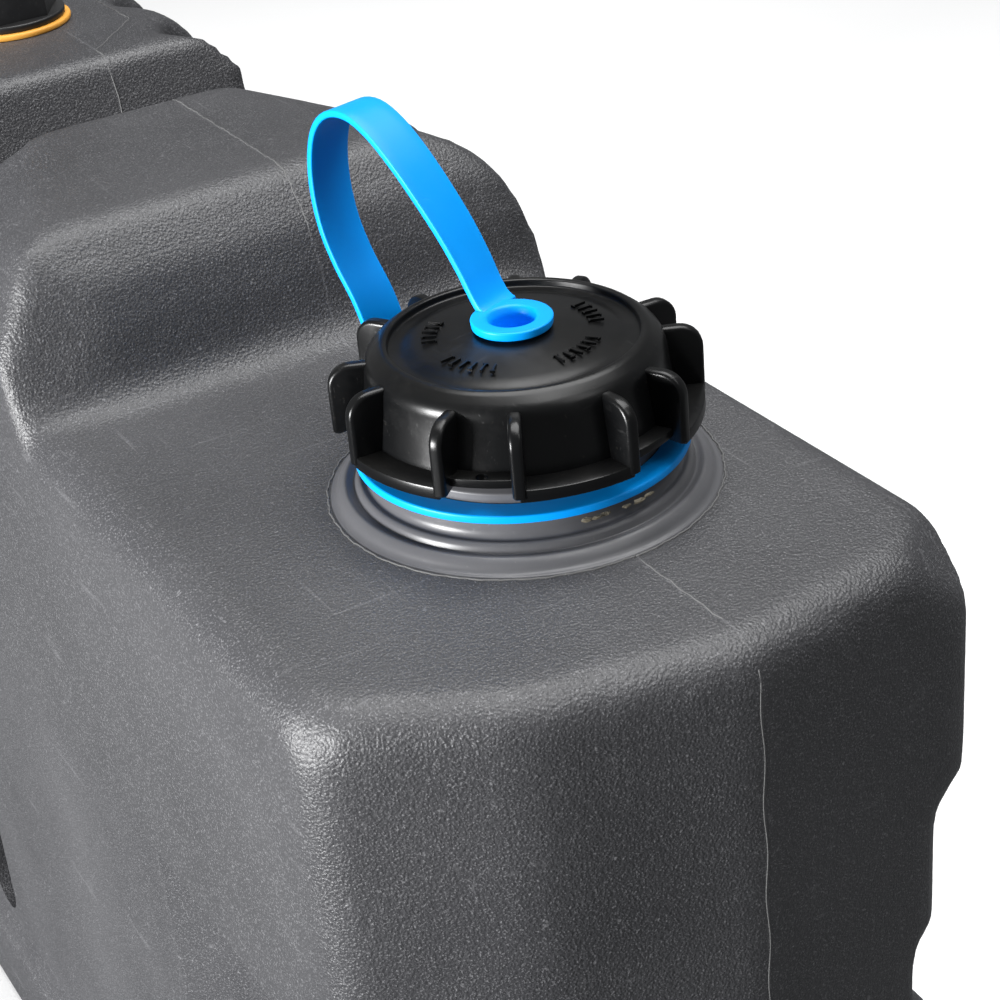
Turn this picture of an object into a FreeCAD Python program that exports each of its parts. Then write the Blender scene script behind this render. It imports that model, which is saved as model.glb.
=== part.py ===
import FreeCAD, Part
import math
import os

# Fresh water tank: a slim upright blow-moulded tank with a wide screw-cap
# filler, a tethered cap, and three plugged ports.
# Millimetres. Origin: middle of the underside. +X towards the filler end,
# +Y towards the far long side, +Z up.

Vector = FreeCAD.Vector

# ---------------------------------------------------------------- tank body
TANK_LENGTH = 1006.0
TANK_THICKNESS = 200.0
SHOULDER_HEIGHT = 400.0
CROWN_HEIGHT = 455.0
WALL = 4.0
PARTING_OFFSET = 14.3          # mould parting plane, measured in Y from mid thickness
NEAR_END_DRAFT = 11.0          # degrees the end leans back, near side of the parting
FAR_END_DRAFT = 8.0            # the same on the far side
CORNER_FACET_X = 31.0          # run of the flat across the near vertical corners
CORNER_FACET_Y = 50.6
VERTICAL_ROUND = 13.0
SHOULDER_ROUND = 21.0
BASE_ROUND = 9.0

# long sides, stepped in below the shoulder band
NEAR_BAND_FOOT = 270.0
NEAR_PANEL_INSET = 6.0
FAR_BAND_FOOT = 322.0
FAR_PANEL_INSET = 15.0
FAR_SLOT_TOP = 265.0
FAR_SLOT_FOOT = 234.0
FAR_SLOT_DEPTH = 9.0
PLINTH_HEIGHT = 46.0
STEP_SLOPE = 12.0              # height taken by each step in a side wall

# shallow slots and end pockets in the near panel
SLOT_DEPTH = 9.0
SLOT_WIDTH = 30.0
SLOT_OFFSET = 45.0
SLOT_FOOT = 62.0
END_POCKET_START = 290.0
END_POCKET_SLOPE = 30.0

# ------------------------------------------------------------------- crown
WALL_FROM_END = 248.0          # shoulder wall, back from the end of the tank
WALL_DRAFT = 5.0
CROWN_NEAR_EDGE = -80.0        # near edge of the crown's top
CROWN_NEAR_FOOT = 420.0        # height where the near slope meets the side
GROOVE_OUTER = 131.0           # strap groove, half spans from the middle
GROOVE_INNER = 86.0
GROOVE_FLOOR = 415.0
GROOVE_CORNER_RUN = 119.0      # the crown narrows over this length towards the groove
GROOVE_CORNER_IN = 35.0
GROOVE_CORNER_DROP = 4.0
GROOVE_CORNER_OUT = 43.0
GROOVE_CORNER_FALL = 23.0
CROWN_FAR_PROFILE = [(38, 0), (23, 5), (12, 14), (5, 27), (0, 45)]   # in from the side, drop
CROWN_CORNER_HEIGHT = 8.0      # where the two corner flats meet, above the shoulder
CROWN_CORNER_RISE = 21.0
CROWN_CORNER_RUN = 11.0
CROWN_CORNER_STEP = 4.0
WAIST_EDGE_RUN = 14.0
WAIST_EDGE_DROP = 15.0
HUMP_HALF_WIDTH = 67.0
HUMP_END_RUN = 13.0            # how far the hump's ends lean in over their height
HUMP_EDGE_PROFILE = [(18, 0), (8, 5), (0, 13)]   # in from the side, drop
FLUTE_RADIUS = 19.0
FLUTE_DEPTH = 16.0
FLUTE_SPACING = 53.0           # the same rhythm runs on along the crown
CROWN_FLUTE_STEPS = (3, 4)
CROWN_FLUTE_DEPTH = 9.0

# ------------------------------------------------------------- filler neck
FILLER_FROM_END = 118.2
NECK_BORE_R = 35.5
NECK_ROOT_R = 39.8
NECK_FLANGE_R = NECK_ROOT_R + 19.6
NECK_COLLAR_R = NECK_ROOT_R + 6.7
NECK_HEIGHT = 41.0             # rim above the shoulder
NECK_COLLAR_TOP = 12.0         # above the shoulder
THREAD_PITCH = 6.0
THREAD_DEPTH = 2.2
THREAD_ROOT = 3.0
THREAD_CREST = 1.5
NECK_THREAD_START = 21.5       # above the shoulder
NECK_THREAD_TURNS = 1.75
CAP_THREAD_TURNS = 1.25
THREAD_SIDE_GAP = 0.55         # between a thread's crest and the opposite wall
CAP_INNER_R = NECK_ROOT_R + THREAD_DEPTH + THREAD_SIDE_GAP
THREAD_BITE = 0.5              # how far a thread is sunk into its wall

# -------------------------------------------------------------- filler cap
GASKET_THICKNESS = 2.4
GASKET_GAP = 0.1
CAP_RIM_R = CAP_INNER_R - 4.35
CAP_RIM_Z = 47.8               # rim above the shoulder
CAP_SKIRT_TOP_R = CAP_INNER_R + 1.75
CAP_SKIRT_FOOT_R = CAP_INNER_R + 4.15
CAP_LEDGE_Z = 23.8             # top of the ledge round the skirt
CAP_LEDGE_THICKNESS = 2.0
LEDGE_WIDE_R = CAP_INNER_R + 12.05
LEDGE_WIDE_LIP = 20.6
LEDGE_NARROW_R = CAP_INNER_R + 8.85
LEDGE_NARROW_LIP = 22.0
LIP_THICKNESS = 1.8
WING_PAIRS = 6
WING_HALF_ANGLE = 12.0         # degrees from the middle of a pair to a wing
FIRST_PAIR_ANGLE = 17.0
WING_R = CAP_INNER_R + 12.65
WING_TOP_Z = 43.9
WING_THICKNESS = 4.2
WING_ROUND = 6.5
WING_ROOT = 0.5                # wing root, out from the inside of the skirt
SEAL_WIRE_HOLE_R = 1.8
SEAL_WIRE_HOLE_AT_R = CAP_INNER_R + 6.75
SEAL_WIRE_PAIR = 5
CAP_CENTRE_Z = 49.3
CAP_CENTRE_R = 14.0            # raised middle round the stud
STUD_R = 7.4
STUD_HOLLOW_R = 5.85
STUD_CLEARANCE = 0.3
STUD_HEAD_R = 8.3
STUD_FOOT_Z = 38.0

# ------------------------------------------------------------------ tether
RING_R = NECK_ROOT_R + 10.4
RING_BORE_CLEARANCE = 0.5
RING_Z = 12.4                  # underside above the shoulder
RING_THICKNESS = 2.5
STRAP_WIDTH = 15.0
STRAP_THICKNESS = 2.0
STRAP_ANGLE = 194.0            # degrees round the neck from +X
EYELET_R = 12.0
EYELET_Z = 50.2
EYELET_THICKNESS = 2.6

# distance from the neck's axis, with the design's wing radius, and height above
# the shoulder, from the ring to the eyelet
DESIGN_WING_R = 55.2
DESIGN_ROUTE = [
    (53.0, 13.6), (55.9, 14.9), (57.3, 18.5), (57.6, 26.0), (59.0, 34.5), (63.2, 44.0),
    (68.9, 53.5), (73.6, 64.0), (76.0, 75.6), (75.6, 87.5), (72.0, 98.5), (65.4, 105.8),
    (56.2, 106.7), (46.1, 102.3), (37.0, 94.3), (29.5, 84.5), (22.9, 73.7), (17.2, 63.0),
    (14.6, 55.5), (11.8, 51.5),
]

# ------------------------------------------------------- ports and plugs
PORT_BORE_R = 16.7
INSERT_R = 21.5
INSERT_LENGTH = 18.0
INSERT_GROOVE_R = 19.6
INSERT_GROOVE_WIDTH = 4.0
BOSS_WALL = 7.0
BOSS_BACK = 4.0                # boss behind the insert
BOSS_BORE_CLEARANCE = 0.6
PLUG_CLEARANCE = 0.08
PLUG_SHANK = 12.5
PLUG_FLANGE_R = 24.0
PLUG_FLANGE_THICKNESS = 3.0
PLUG_ACROSS_FLATS = 38.0
PLUG_HEAD_HEIGHT = 14.0
PLUG_SOCKET_R = 13.0
PLUG_SOCKET_DEPTH = 10.0
PLUG_WALL = 3.0
WASHER_R = 26.0
WASHER_THICKNESS = 2.5
LOW_PORT_HEIGHT = 48.0
LOW_PORT_SEAT = 22.0           # seat set back from the end of the tank
SEAT_RADIUS = 34.0

# ----------------------------------------------------------- derived sizes
HALF_LENGTH = TANK_LENGTH / 2
HALF_THICKNESS = TANK_THICKNESS / 2
WALL_X = HALF_LENGTH - WALL_FROM_END
FILLER_X = HALF_LENGTH - FILLER_FROM_END
FILLER_CENTRE = Vector(FILLER_X, PARTING_OFFSET, SHOULDER_HEIGHT)
CAP_UNDERSIDE = NECK_HEIGHT + GASKET_GAP + GASKET_THICKNESS
NECK_SEAT_R = NECK_ROOT_R + THREAD_DEPTH + 0.3
RING_BORE_R = NECK_SEAT_R + RING_BORE_CLEARANCE
PAIR_STEP = 360.0 / WING_PAIRS
PLUG_SHANK_R = PORT_BORE_R - PLUG_CLEARANCE
STRAP_FOOT_D, STRAP_END_D = DESIGN_ROUTE[0][0], DESIGN_ROUTE[-1][0]
STRAP_GROWTH = (WING_R - DESIGN_WING_R) / (STRAP_FOOT_D - STRAP_END_D)
STRAP_ROUTE = [(d + (d - STRAP_END_D) * STRAP_GROWTH, z) for d, z in DESIGN_ROUTE]
RING_TAB_R = STRAP_ROUTE[0][0]


# ------------------------------------------------------------ shape helpers
def plan_prism(points, low, high):
    """Extrude an outline given in X, Y from height low to height high."""
    corners = [Vector(x, y, low) for x, y in points]
    face = Part.Face(Part.makePolygon(corners + corners[:1]))
    return face.extrude(Vector(0, 0, high - low))


def length_prism(points, start, end):
    """Extrude an outline given in Y, Z from x = start to x = end."""
    corners = [Vector(start, y, z) for y, z in points]
    face = Part.Face(Part.makePolygon(corners + corners[:1]))
    return face.extrude(Vector(end - start, 0, 0))


def side_prism(points, start, end):
    """Extrude an outline given in X, Z from y = start to y = end."""
    corners = [Vector(x, start, z) for x, z in points]
    face = Part.Face(Part.makePolygon(corners + corners[:1]))
    return face.extrude(Vector(0, end - start, 0))


def revolve(profile):
    """Turn an outline of radius and height about the Z axis into a solid."""
    corners = [Vector(r, 0, z) for r, z in profile]
    face = Part.Face(Part.makePolygon(corners + corners[:1]))
    return face.revolve(Vector(0, 0, 0), Vector(0, 0, 1), 360)


def cylinder(radius, low, high):
    return Part.makeCylinder(radius, high - low, Vector(0, 0, low))


def slice_off(shape, corners, outwards, reach=400.0):
    """Cut away what lies beyond the plane through three corners."""
    a, b, c = [Vector(*p) for p in corners]
    normal = (b - a).cross(c - a)
    normal.normalize()
    if normal.dot(Vector(*outwards)) < 0:
        normal = normal * -1
    box = Part.makeBox(2 * reach, 2 * reach, reach, Vector(-reach, -reach, 0))
    turn = FreeCAD.Rotation(Vector(0, 0, 1), normal)
    box.Placement = FreeCAD.Placement(a, turn)
    return shape.cut(box)


def mirrored(shape):
    """The shape with its mirror image in the plane x = 0."""
    return shape.fuse(shape.mirror(Vector(0, 0, 0), Vector(1, 0, 0)))


def along(shape, origin, direction):
    """Place a shape made about +Z at origin, pointing along direction."""
    placed = shape.copy()
    turn = FreeCAD.Rotation(Vector(0, 0, 1), direction)
    placed.Placement = FreeCAD.Placement(origin, turn)
    return placed


def edges_where(shape, test):
    """Edges whose middle point and direction pass a test."""
    chosen = []
    for edge in shape.Edges:
        middle = edge.valueAt((edge.FirstParameter + edge.LastParameter) / 2)
        if test(edge, middle):
            chosen.append(edge)
    return chosen


def is_upright(edge):
    a, b = edge.Vertexes[0].Point, edge.Vertexes[-1].Point
    return abs(a.x - b.x) < 0.01 and abs(a.y - b.y) < 0.01


# ---------------------------------------------------------------- tank body
def end_x(y, inset):
    """X of the drafted end face at a given y."""
    draft = NEAR_END_DRAFT if y < PARTING_OFFSET else FAR_END_DRAFT
    return HALF_LENGTH - inset - abs(y - PARTING_OFFSET) * math.tan(math.radians(draft))


def plan_outline(inset):
    """Plan of the tank: drafted ends, flats across the near corners."""
    near = -HALF_THICKNESS + inset
    far = HALF_THICKNESS - inset
    facet_y = near + CORNER_FACET_Y - inset / 2
    facet_x = end_x(facet_y, inset)
    right = [
        (facet_x - CORNER_FACET_X, near),
        (facet_x, facet_y),
        (HALF_LENGTH - inset, PARTING_OFFSET),
        (end_x(far, inset), far),
    ]
    left = [(-x, y) for x, y in reversed(right)]
    return right + left


def side_outline(inset):
    """Cross-section of the lower body in Y and Z, with stepped sides."""
    near = -HALF_THICKNESS + inset
    far = HALF_THICKNESS - inset
    near_panel = near + NEAR_PANEL_INSET
    far_panel = far - FAR_PANEL_INSET
    far_slot = far_panel - FAR_SLOT_DEPTH
    return [
        (near, inset), (near, PLINTH_HEIGHT - inset),
        (near_panel, PLINTH_HEIGHT + STEP_SLOPE - inset),
        (near_panel, NEAR_BAND_FOOT + inset - STEP_SLOPE / 3), (near, NEAR_BAND_FOOT + inset),
        (near, SHOULDER_HEIGHT - inset), (far, SHOULDER_HEIGHT - inset),
        (far, FAR_BAND_FOOT + inset), (far_panel, FAR_BAND_FOOT + inset - STEP_SLOPE),
        (far_panel, FAR_SLOT_TOP + inset), (far_slot, FAR_SLOT_TOP + inset - STEP_SLOPE / 2),
        (far_slot, FAR_SLOT_FOOT - inset + STEP_SLOPE / 2), (far_panel, FAR_SLOT_FOOT - inset),
        (far_panel, PLINTH_HEIGHT + STEP_SLOPE - inset), (far, PLINTH_HEIGHT - inset), (far, inset),
    ]


def lower_body(inset):
    """Body below the shoulder, with rounded uprights and shoulder edges."""
    body = plan_prism(plan_outline(inset), inset, SHOULDER_HEIGHT - inset)
    uprights = edges_where(body, lambda e, m: is_upright(e) and abs(m.y - PARTING_OFFSET) > 20)
    body = body.makeFillet(VERTICAL_ROUND - inset, uprights)
    top = SHOULDER_HEIGHT - inset
    body = body.makeFillet(SHOULDER_ROUND - inset, edges_where(body, lambda e, m: abs(m.z - top) < 0.01))
    body = body.makeFillet(BASE_ROUND - inset, edges_where(body, lambda e, m: abs(m.z - inset) < 0.01))
    section = length_prism(side_outline(inset), -HALF_LENGTH - 5, HALF_LENGTH + 5)
    return body.common(section)


def slot_tool(inset):
    """One upright slot in the near panel, round at its foot."""
    half = SLOT_WIDTH / 2 + inset
    foot = SLOT_FOOT + half - inset
    top = NEAR_BAND_FOOT - STEP_SLOPE + inset
    floor = -HALF_THICKNESS + NEAR_PANEL_INSET + SLOT_DEPTH + inset
    outside = -HALF_THICKNESS - 1
    bar = Part.makeBox(2 * half, floor - outside, top - foot, Vector(SLOT_OFFSET - half, outside, foot))
    end = Part.makeCylinder(half, floor - outside, Vector(SLOT_OFFSET, outside, foot), Vector(0, 1, 0))
    return bar.fuse(end)


def end_pocket_tool(inset):
    """The lowered stretch of the near panel beside the end of the tank."""
    surface = -HALF_THICKNESS + NEAR_PANEL_INSET + inset
    floor = surface + SLOT_DEPTH
    outside = -HALF_THICKNESS - 1
    start = END_POCKET_START - inset
    beyond = HALF_LENGTH + 5
    outline = [(start, outside), (start, surface), (start + END_POCKET_SLOPE, floor),
               (beyond, floor), (beyond, outside)]
    foot = PLINTH_HEIGHT + STEP_SLOPE - inset
    top = NEAR_BAND_FOOT - STEP_SLOPE / 3 + inset
    return plan_prism(outline, foot, top)


def crown_outline(inset):
    """Cross-section of the crown in Y and Z: near slope, rounded far side."""
    near = -HALF_THICKNESS + inset
    far = HALF_THICKNESS - inset
    top = CROWN_HEIGHT - inset
    lean = inset * 0.4
    foot = SHOULDER_HEIGHT - 2 * SHOULDER_ROUND
    near_side = [(near, foot), (near, CROWN_NEAR_FOOT - lean), (CROWN_NEAR_EDGE + lean, top)]
    far_side = [(far - run, top - drop) for run, drop in CROWN_FAR_PROFILE]
    return near_side + far_side + [(far, foot)]


def crown_block(inset):
    """One raised section between the shoulder wall and the strap groove."""
    block = length_prism(crown_outline(inset), GROOVE_OUTER + inset, WALL_X + 10)
    lean = math.tan(math.radians(WALL_DRAFT)) * (CROWN_HEIGHT - SHOULDER_HEIGHT)
    foot_x = WALL_X + 2 - inset
    top_x = foot_x - lean
    near = -HALF_THICKNESS + inset
    edge = CROWN_NEAR_EDGE + inset
    low = (foot_x - 1, edge + CROWN_CORNER_STEP, SHOULDER_HEIGHT + CROWN_CORNER_HEIGHT)
    high = (foot_x - CROWN_CORNER_RUN, near + 1, SHOULDER_HEIGHT + CROWN_CORNER_RISE)
    foot = (foot_x, near, SHOULDER_HEIGHT - CROWN_CORNER_HEIGHT)
    wall = [(foot_x, 0, SHOULDER_HEIGHT), (top_x, 0, CROWN_HEIGHT), (top_x, 50, CROWN_HEIGHT)]
    block = slice_off(block, wall, (1, 0, 0))
    block = slice_off(block, [(top_x, edge, CROWN_HEIGHT), low, high], (1, -1, 0))
    block = slice_off(block, [low, high, foot], (1, 0, 1))
    block = groove_corners(block, inset)
    far_edge = HALF_THICKNESS - CROWN_FAR_PROFILE[1][0]
    for step in CROWN_FLUTE_STEPS:
        block = block.cut(flute(step * FLUTE_SPACING, far_edge - CROWN_FLUTE_DEPTH, inset))
    return block


def flute(x, bottom, inset):
    """Upright round cut whose bottom is at y = bottom, open to the far side."""
    axis = Vector(x, bottom + FLUTE_RADIUS, GROOVE_FLOOR - inset)
    return Part.makeCylinder(FLUTE_RADIUS + inset, CROWN_HEIGHT, axis)


def groove_corners(block, inset):
    """Narrow the crown towards the strap groove with a slope on both sides."""
    top = CROWN_HEIGHT - inset
    x0 = GROOVE_OUTER + inset
    x1 = x0 + GROOVE_CORNER_RUN
    far_edge = HALF_THICKNESS - CROWN_FAR_PROFILE[1][0] - inset
    for edge, side in ((CROWN_NEAR_EDGE + inset, -1), (far_edge, 1)):
        inner = edge - side * GROOVE_CORNER_IN
        outer = inner + side * GROOVE_CORNER_OUT
        corners = [(x0, inner, top - GROOVE_CORNER_DROP), (x1, edge, top),
                   (x0, outer, top - GROOVE_CORNER_FALL)]
        block = slice_off(block, corners, (-1, side, 1))
    return block


def waist(inset):
    """Low floor under the strap grooves, carried round the middle hump."""
    half = HALF_THICKNESS - inset
    floor = GROOVE_FLOOR - inset
    foot = SHOULDER_HEIGHT - 2 * SHOULDER_ROUND
    edge = floor - WAIST_EDGE_DROP
    inner = half - WAIST_EDGE_RUN
    outline = [(-half, foot), (-half, edge), (-inner, floor), (inner, floor), (half, edge), (half, foot)]
    reach = GROOVE_OUTER + WAIST_EDGE_RUN
    return length_prism(outline, -reach, reach)


def hump(inset):
    """Middle hump that carries the top port, fluted on its far side."""
    half = GROOVE_INNER - inset
    top = CROWN_HEIGHT - inset
    base = SHOULDER_HEIGHT - WAIST_EDGE_RUN
    slope_x = half - HUMP_END_RUN
    outline = [(-half, base), (-half, GROOVE_FLOOR), (-slope_x, top),
               (slope_x, top), (half, GROOVE_FLOOR), (half, base)]
    width = HUMP_HALF_WIDTH - inset
    far_side = [(width - run, top - drop) for run, drop in HUMP_EDGE_PROFILE]
    near_side = [(-y, z) for y, z in reversed(far_side)]
    section = near_side + far_side + [(width, base), (-width, base)]
    block = side_prism(outline, -width, width).common(length_prism(section, -half, half))
    for x in (-FLUTE_SPACING, 0, FLUTE_SPACING):
        block = block.cut(flute(x, HUMP_HALF_WIDTH - FLUTE_DEPTH, inset))
    return block


def tank_form(inset):
    """The tank's whole form, or its water space when inset is the wall."""
    form = lower_body(inset)
    form = form.cut(mirrored(slot_tool(inset)))
    form = form.cut(mirrored(end_pocket_tool(inset)))
    form = form.fuse([mirrored(crown_block(inset)), waist(inset), hump(inset)])
    return form.removeSplitter()


# -------------------------------------------------------------------- ports
def insert_body():
    """Threaded insert as one filled solid, for cutting its seat."""
    groove = -INSERT_LENGTH / 2
    half = INSERT_GROOVE_WIDTH / 2
    return revolve([
        (0, -INSERT_LENGTH), (INSERT_R, -INSERT_LENGTH), (INSERT_R, groove - half),
        (INSERT_GROOVE_R, groove - half), (INSERT_GROOVE_R, groove + half),
        (INSERT_R, groove + half), (INSERT_R, 0), (0, 0),
    ])


def port_insert():
    """Ring-shaped insert moulded into the wall, with its bore."""
    return insert_body().cut(cylinder(PORT_BORE_R, -INSERT_LENGTH - 1, 1))


def port_washer():
    """Flat sealing washer under the plug's flange."""
    ring = cylinder(WASHER_R, 0, WASHER_THICKNESS)
    return ring.cut(cylinder(PORT_BORE_R + 0.3, -1, WASHER_THICKNESS + 1))


def port_plug():
    """Plug with a round flange, a six-sided head and a hollow top."""
    seat = WASHER_THICKNESS
    flange_top = seat + PLUG_FLANGE_THICKNESS
    head_top = flange_top + PLUG_HEAD_HEIGHT
    corner_r = PLUG_ACROSS_FLATS / 2 / math.cos(math.radians(30))
    corners = [(corner_r * math.cos(math.radians(a)), corner_r * math.sin(math.radians(a)))
               for a in range(0, 360, 60)]
    head = plan_prism(corners, seat, head_top)
    crown = revolve([(0, seat), (corner_r + 1, seat), (corner_r + 1, head_top - 2.5),
                     (corner_r - 1.5, head_top), (0, head_top)])
    head = head.common(crown)
    flange = cylinder(PLUG_FLANGE_R, seat, flange_top)
    shank = cylinder(PLUG_SHANK_R, seat - WASHER_THICKNESS - PLUG_SHANK, seat)
    plug = head.fuse([flange, shank])
    socket = cylinder(PLUG_SOCKET_R, head_top - PLUG_SOCKET_DEPTH, head_top + 1)
    hollow = cylinder(PLUG_SHANK_R - PLUG_WALL, -PLUG_SHANK - 1, seat + 1)
    return plug.cut(socket).cut(hollow).removeSplitter()


def ports():
    """Name, seat centre and outward direction of each port."""
    seat_x = HALF_LENGTH - LOW_PORT_SEAT
    return [
        ("top", Vector(0, 0, CROWN_HEIGHT), Vector(0, 0, 1)),
        ("front", Vector(seat_x, PARTING_OFFSET, LOW_PORT_HEIGHT), Vector(1, 0, 0)),
        ("rear", Vector(-seat_x, PARTING_OFFSET, LOW_PORT_HEIGHT), Vector(-1, 0, 0)),
    ]


def boss_inside(origin, direction):
    """Thick wall behind a port, clipped to the outside of the tank later."""
    depth = INSERT_LENGTH + BOSS_BACK
    boss = cylinder(INSERT_R + BOSS_WALL, -depth, 0)
    if abs(direction.x) > 0.5:
        boss = boss.fuse(cylinder(SEAT_RADIUS + WALL, -2 * WALL, LOW_PORT_SEAT))
    return along(boss, origin, direction)


# --------------------------------------------------------------- tank shell
def tank_shell():
    """Hollow tank with its port bosses, seats and the hole for the neck."""
    outside = tank_form(0.0)
    shell = outside.cut(tank_form(WALL))
    for _, origin, direction in ports():
        shell = shell.fuse(boss_inside(origin, direction).common(outside))
    for _, origin, direction in ports():
        shell = shell.cut(along(insert_body(), origin, direction))
        waterway = cylinder(PORT_BORE_R + BOSS_BORE_CLEARANCE, -INSERT_LENGTH - BOSS_BACK - 1, 0)
        shell = shell.cut(along(waterway, origin, direction))
        seat = cylinder(SEAT_RADIUS, 0, LOW_PORT_SEAT + 5)
        shell = shell.cut(along(seat, origin, direction))
    hole = cylinder(NECK_FLANGE_R, -2 * WALL, 2 * WALL)
    hole.translate(FILLER_CENTRE)
    return shell.cut(hole).removeSplitter()


# -------------------------------------------------------------- filler neck
def helical_ridge(wall_r, outward, start, turns):
    """Screw thread ridge on a wall, sunk THREAD_BITE into it."""
    height = turns * THREAD_PITCH
    tip_r = wall_r + outward * THREAD_DEPTH
    base_r = wall_r - outward * THREAD_BITE
    path = Part.makeHelix(THREAD_PITCH, height, wall_r)
    path.translate(Vector(0, 0, start))
    outline = [(base_r, -THREAD_ROOT / 2), (tip_r, -THREAD_CREST / 2),
               (tip_r, THREAD_CREST / 2), (base_r, THREAD_ROOT / 2)]
    corners = [Vector(r, 0, start + z) for r, z in outline]
    profile = Part.makePolygon(corners + corners[:1])
    ridge = Part.Wire(path.Edges).makePipeShell([profile], True, True)
    if ridge.Volume < 0:
        ridge.reverse()
    return ridge


def neck_profile():
    """Radius and height above the shoulder, flange to rim."""
    ridge = NECK_FLANGE_R - 4.8
    return [
        (NECK_BORE_R, -WALL), (NECK_FLANGE_R, -WALL), (NECK_FLANGE_R, 0),
        (ridge + 3.0, 0.6), (ridge + 1.6, 2.4), (ridge, 3.4), (ridge - 1.6, 2.8),
        (ridge - 3.2, 1.4), (ridge - 4.2, 2.0), (ridge - 5.2, 2.6), (ridge - 6.4, 2.4),
        (NECK_COLLAR_R, 5.0), (NECK_COLLAR_R, NECK_COLLAR_TOP), (NECK_SEAT_R, NECK_COLLAR_TOP),
        (NECK_SEAT_R, NECK_THREAD_START - 4.0), (NECK_ROOT_R, NECK_THREAD_START - 3.0),
        (NECK_ROOT_R, NECK_HEIGHT - 1.0), (NECK_ROOT_R - 1.0, NECK_HEIGHT), (NECK_BORE_R, NECK_HEIGHT),
    ]


def filler_neck():
    """Smooth neck moulding set into the shoulder, with its outside thread."""
    neck = revolve(neck_profile())
    thread = helical_ridge(NECK_ROOT_R, 1, NECK_THREAD_START, NECK_THREAD_TURNS)
    neck = neck.fuse(thread)
    neck.translate(FILLER_CENTRE)
    return neck


# --------------------------------------------------------------- filler cap
def cap_profile():
    """Radius and height of the cap's crown and skirt."""
    under = CAP_UNDERSIDE
    rim = CAP_RIM_Z
    foot = CAP_LEDGE_Z - CAP_LEDGE_THICKNESS
    hole = STUD_R + STUD_CLEARANCE
    return [
        (hole, under), (CAP_INNER_R, under), (CAP_INNER_R, foot), (CAP_SKIRT_FOOT_R, foot),
        (CAP_SKIRT_FOOT_R, CAP_LEDGE_Z), (CAP_SKIRT_TOP_R, rim - 8.0), (CAP_SKIRT_TOP_R - 0.9, rim - 4.6),
        (CAP_SKIRT_TOP_R - 2.8, rim - 2.0), (CAP_RIM_R + 1.0, rim - 0.4), (CAP_RIM_R, rim),
        (CAP_RIM_R - 0.8, rim - 0.2), (CAP_RIM_R - 1.6, rim - 1.9), (CAP_RIM_R - 7.0, rim - 1.9),
        (CAP_RIM_R - 8.0, rim - 1.4), (CAP_RIM_R - 10.0, rim - 0.9), (CAP_CENTRE_R, CAP_CENTRE_Z - 0.3),
        (hole, CAP_CENTRE_Z),
    ]


def wing():
    """One grip wing, its outer top corner rounded."""
    inner = CAP_RIM_R + 3
    foot = CAP_LEDGE_Z - CAP_LEDGE_THICKNESS
    plate = Part.makeBox(WING_R - inner, WING_THICKNESS, WING_TOP_Z - foot,
                         Vector(inner, -WING_THICKNESS / 2, foot))
    corner = edges_where(plate, lambda e, m: abs(m.x - WING_R) < 0.01 and abs(m.z - WING_TOP_Z) < 0.01)
    plate = plate.makeFillet(WING_ROUND, corner)
    return plate.cut(cylinder(CAP_INNER_R + WING_ROOT, foot - 1, CAP_UNDERSIDE))


def ledge_segment(start, end, radius, lip_foot):
    """Part of the ledge round the skirt between two angles, with its lip."""
    foot = CAP_LEDGE_Z - CAP_LEDGE_THICKNESS
    inner = CAP_SKIRT_FOOT_R - 0.5
    profile = [(inner, foot), (radius - LIP_THICKNESS, foot), (radius - LIP_THICKNESS, lip_foot),
               (radius, lip_foot), (radius, CAP_LEDGE_Z), (inner, CAP_LEDGE_Z)]
    corners = [Vector(r, 0, z) for r, z in profile]
    face = Part.Face(Part.makePolygon(corners + corners[:1]))
    segment = face.revolve(Vector(0, 0, 0), Vector(0, 0, 1), end - start)
    segment.rotate(Vector(0, 0, 0), Vector(0, 0, 1), start)
    return segment


def cap_ledge():
    """Wide ledge segments between the pairs, narrow ones within them."""
    pieces = []
    for pair in range(WING_PAIRS):
        middle = FIRST_PAIR_ANGLE + pair * PAIR_STEP
        low, high = middle - WING_HALF_ANGLE, middle + WING_HALF_ANGLE
        pieces.append(ledge_segment(low, high, LEDGE_NARROW_R, LEDGE_NARROW_LIP))
        pieces.append(ledge_segment(high, low + PAIR_STEP, LEDGE_WIDE_R, LEDGE_WIDE_LIP))
    return pieces


def filler_cap():
    """Screw cap with twelve grip wings in six pairs and an inside thread."""
    cap = revolve(cap_profile())
    parts = cap_ledge()
    for pair in range(WING_PAIRS):
        for side in (-1, 1):
            blade = wing()
            angle = FIRST_PAIR_ANGLE + pair * PAIR_STEP + side * WING_HALF_ANGLE
            blade.rotate(Vector(0, 0, 0), Vector(0, 0, 1), angle)
            parts.append(blade)
    cap = cap.fuse(parts)
    start = NECK_THREAD_START + THREAD_PITCH / 2
    cap = cap.fuse(helical_ridge(CAP_INNER_R, -1, start, CAP_THREAD_TURNS))
    wire_hole = cylinder(SEAL_WIRE_HOLE_R, CAP_LEDGE_Z - 8, CAP_LEDGE_Z + 1)
    wire_hole.translate(Vector(SEAL_WIRE_HOLE_AT_R, 0, 0))
    wire_hole.rotate(Vector(0, 0, 0), Vector(0, 0, 1), FIRST_PAIR_ANGLE + SEAL_WIRE_PAIR * PAIR_STEP)
    cap = cap.cut(wire_hole)
    cap.translate(FILLER_CENTRE)
    return cap


def cap_gasket():
    """Flat ring between the cap and the neck's rim."""
    low = NECK_HEIGHT + GASKET_GAP
    ring = cylinder(CAP_INNER_R - 0.3, low, low + GASKET_THICKNESS)
    ring = ring.cut(cylinder(NECK_BORE_R - 0.8, low - 1, CAP_UNDERSIDE + 1))
    ring.translate(FILLER_CENTRE)
    return ring


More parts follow.
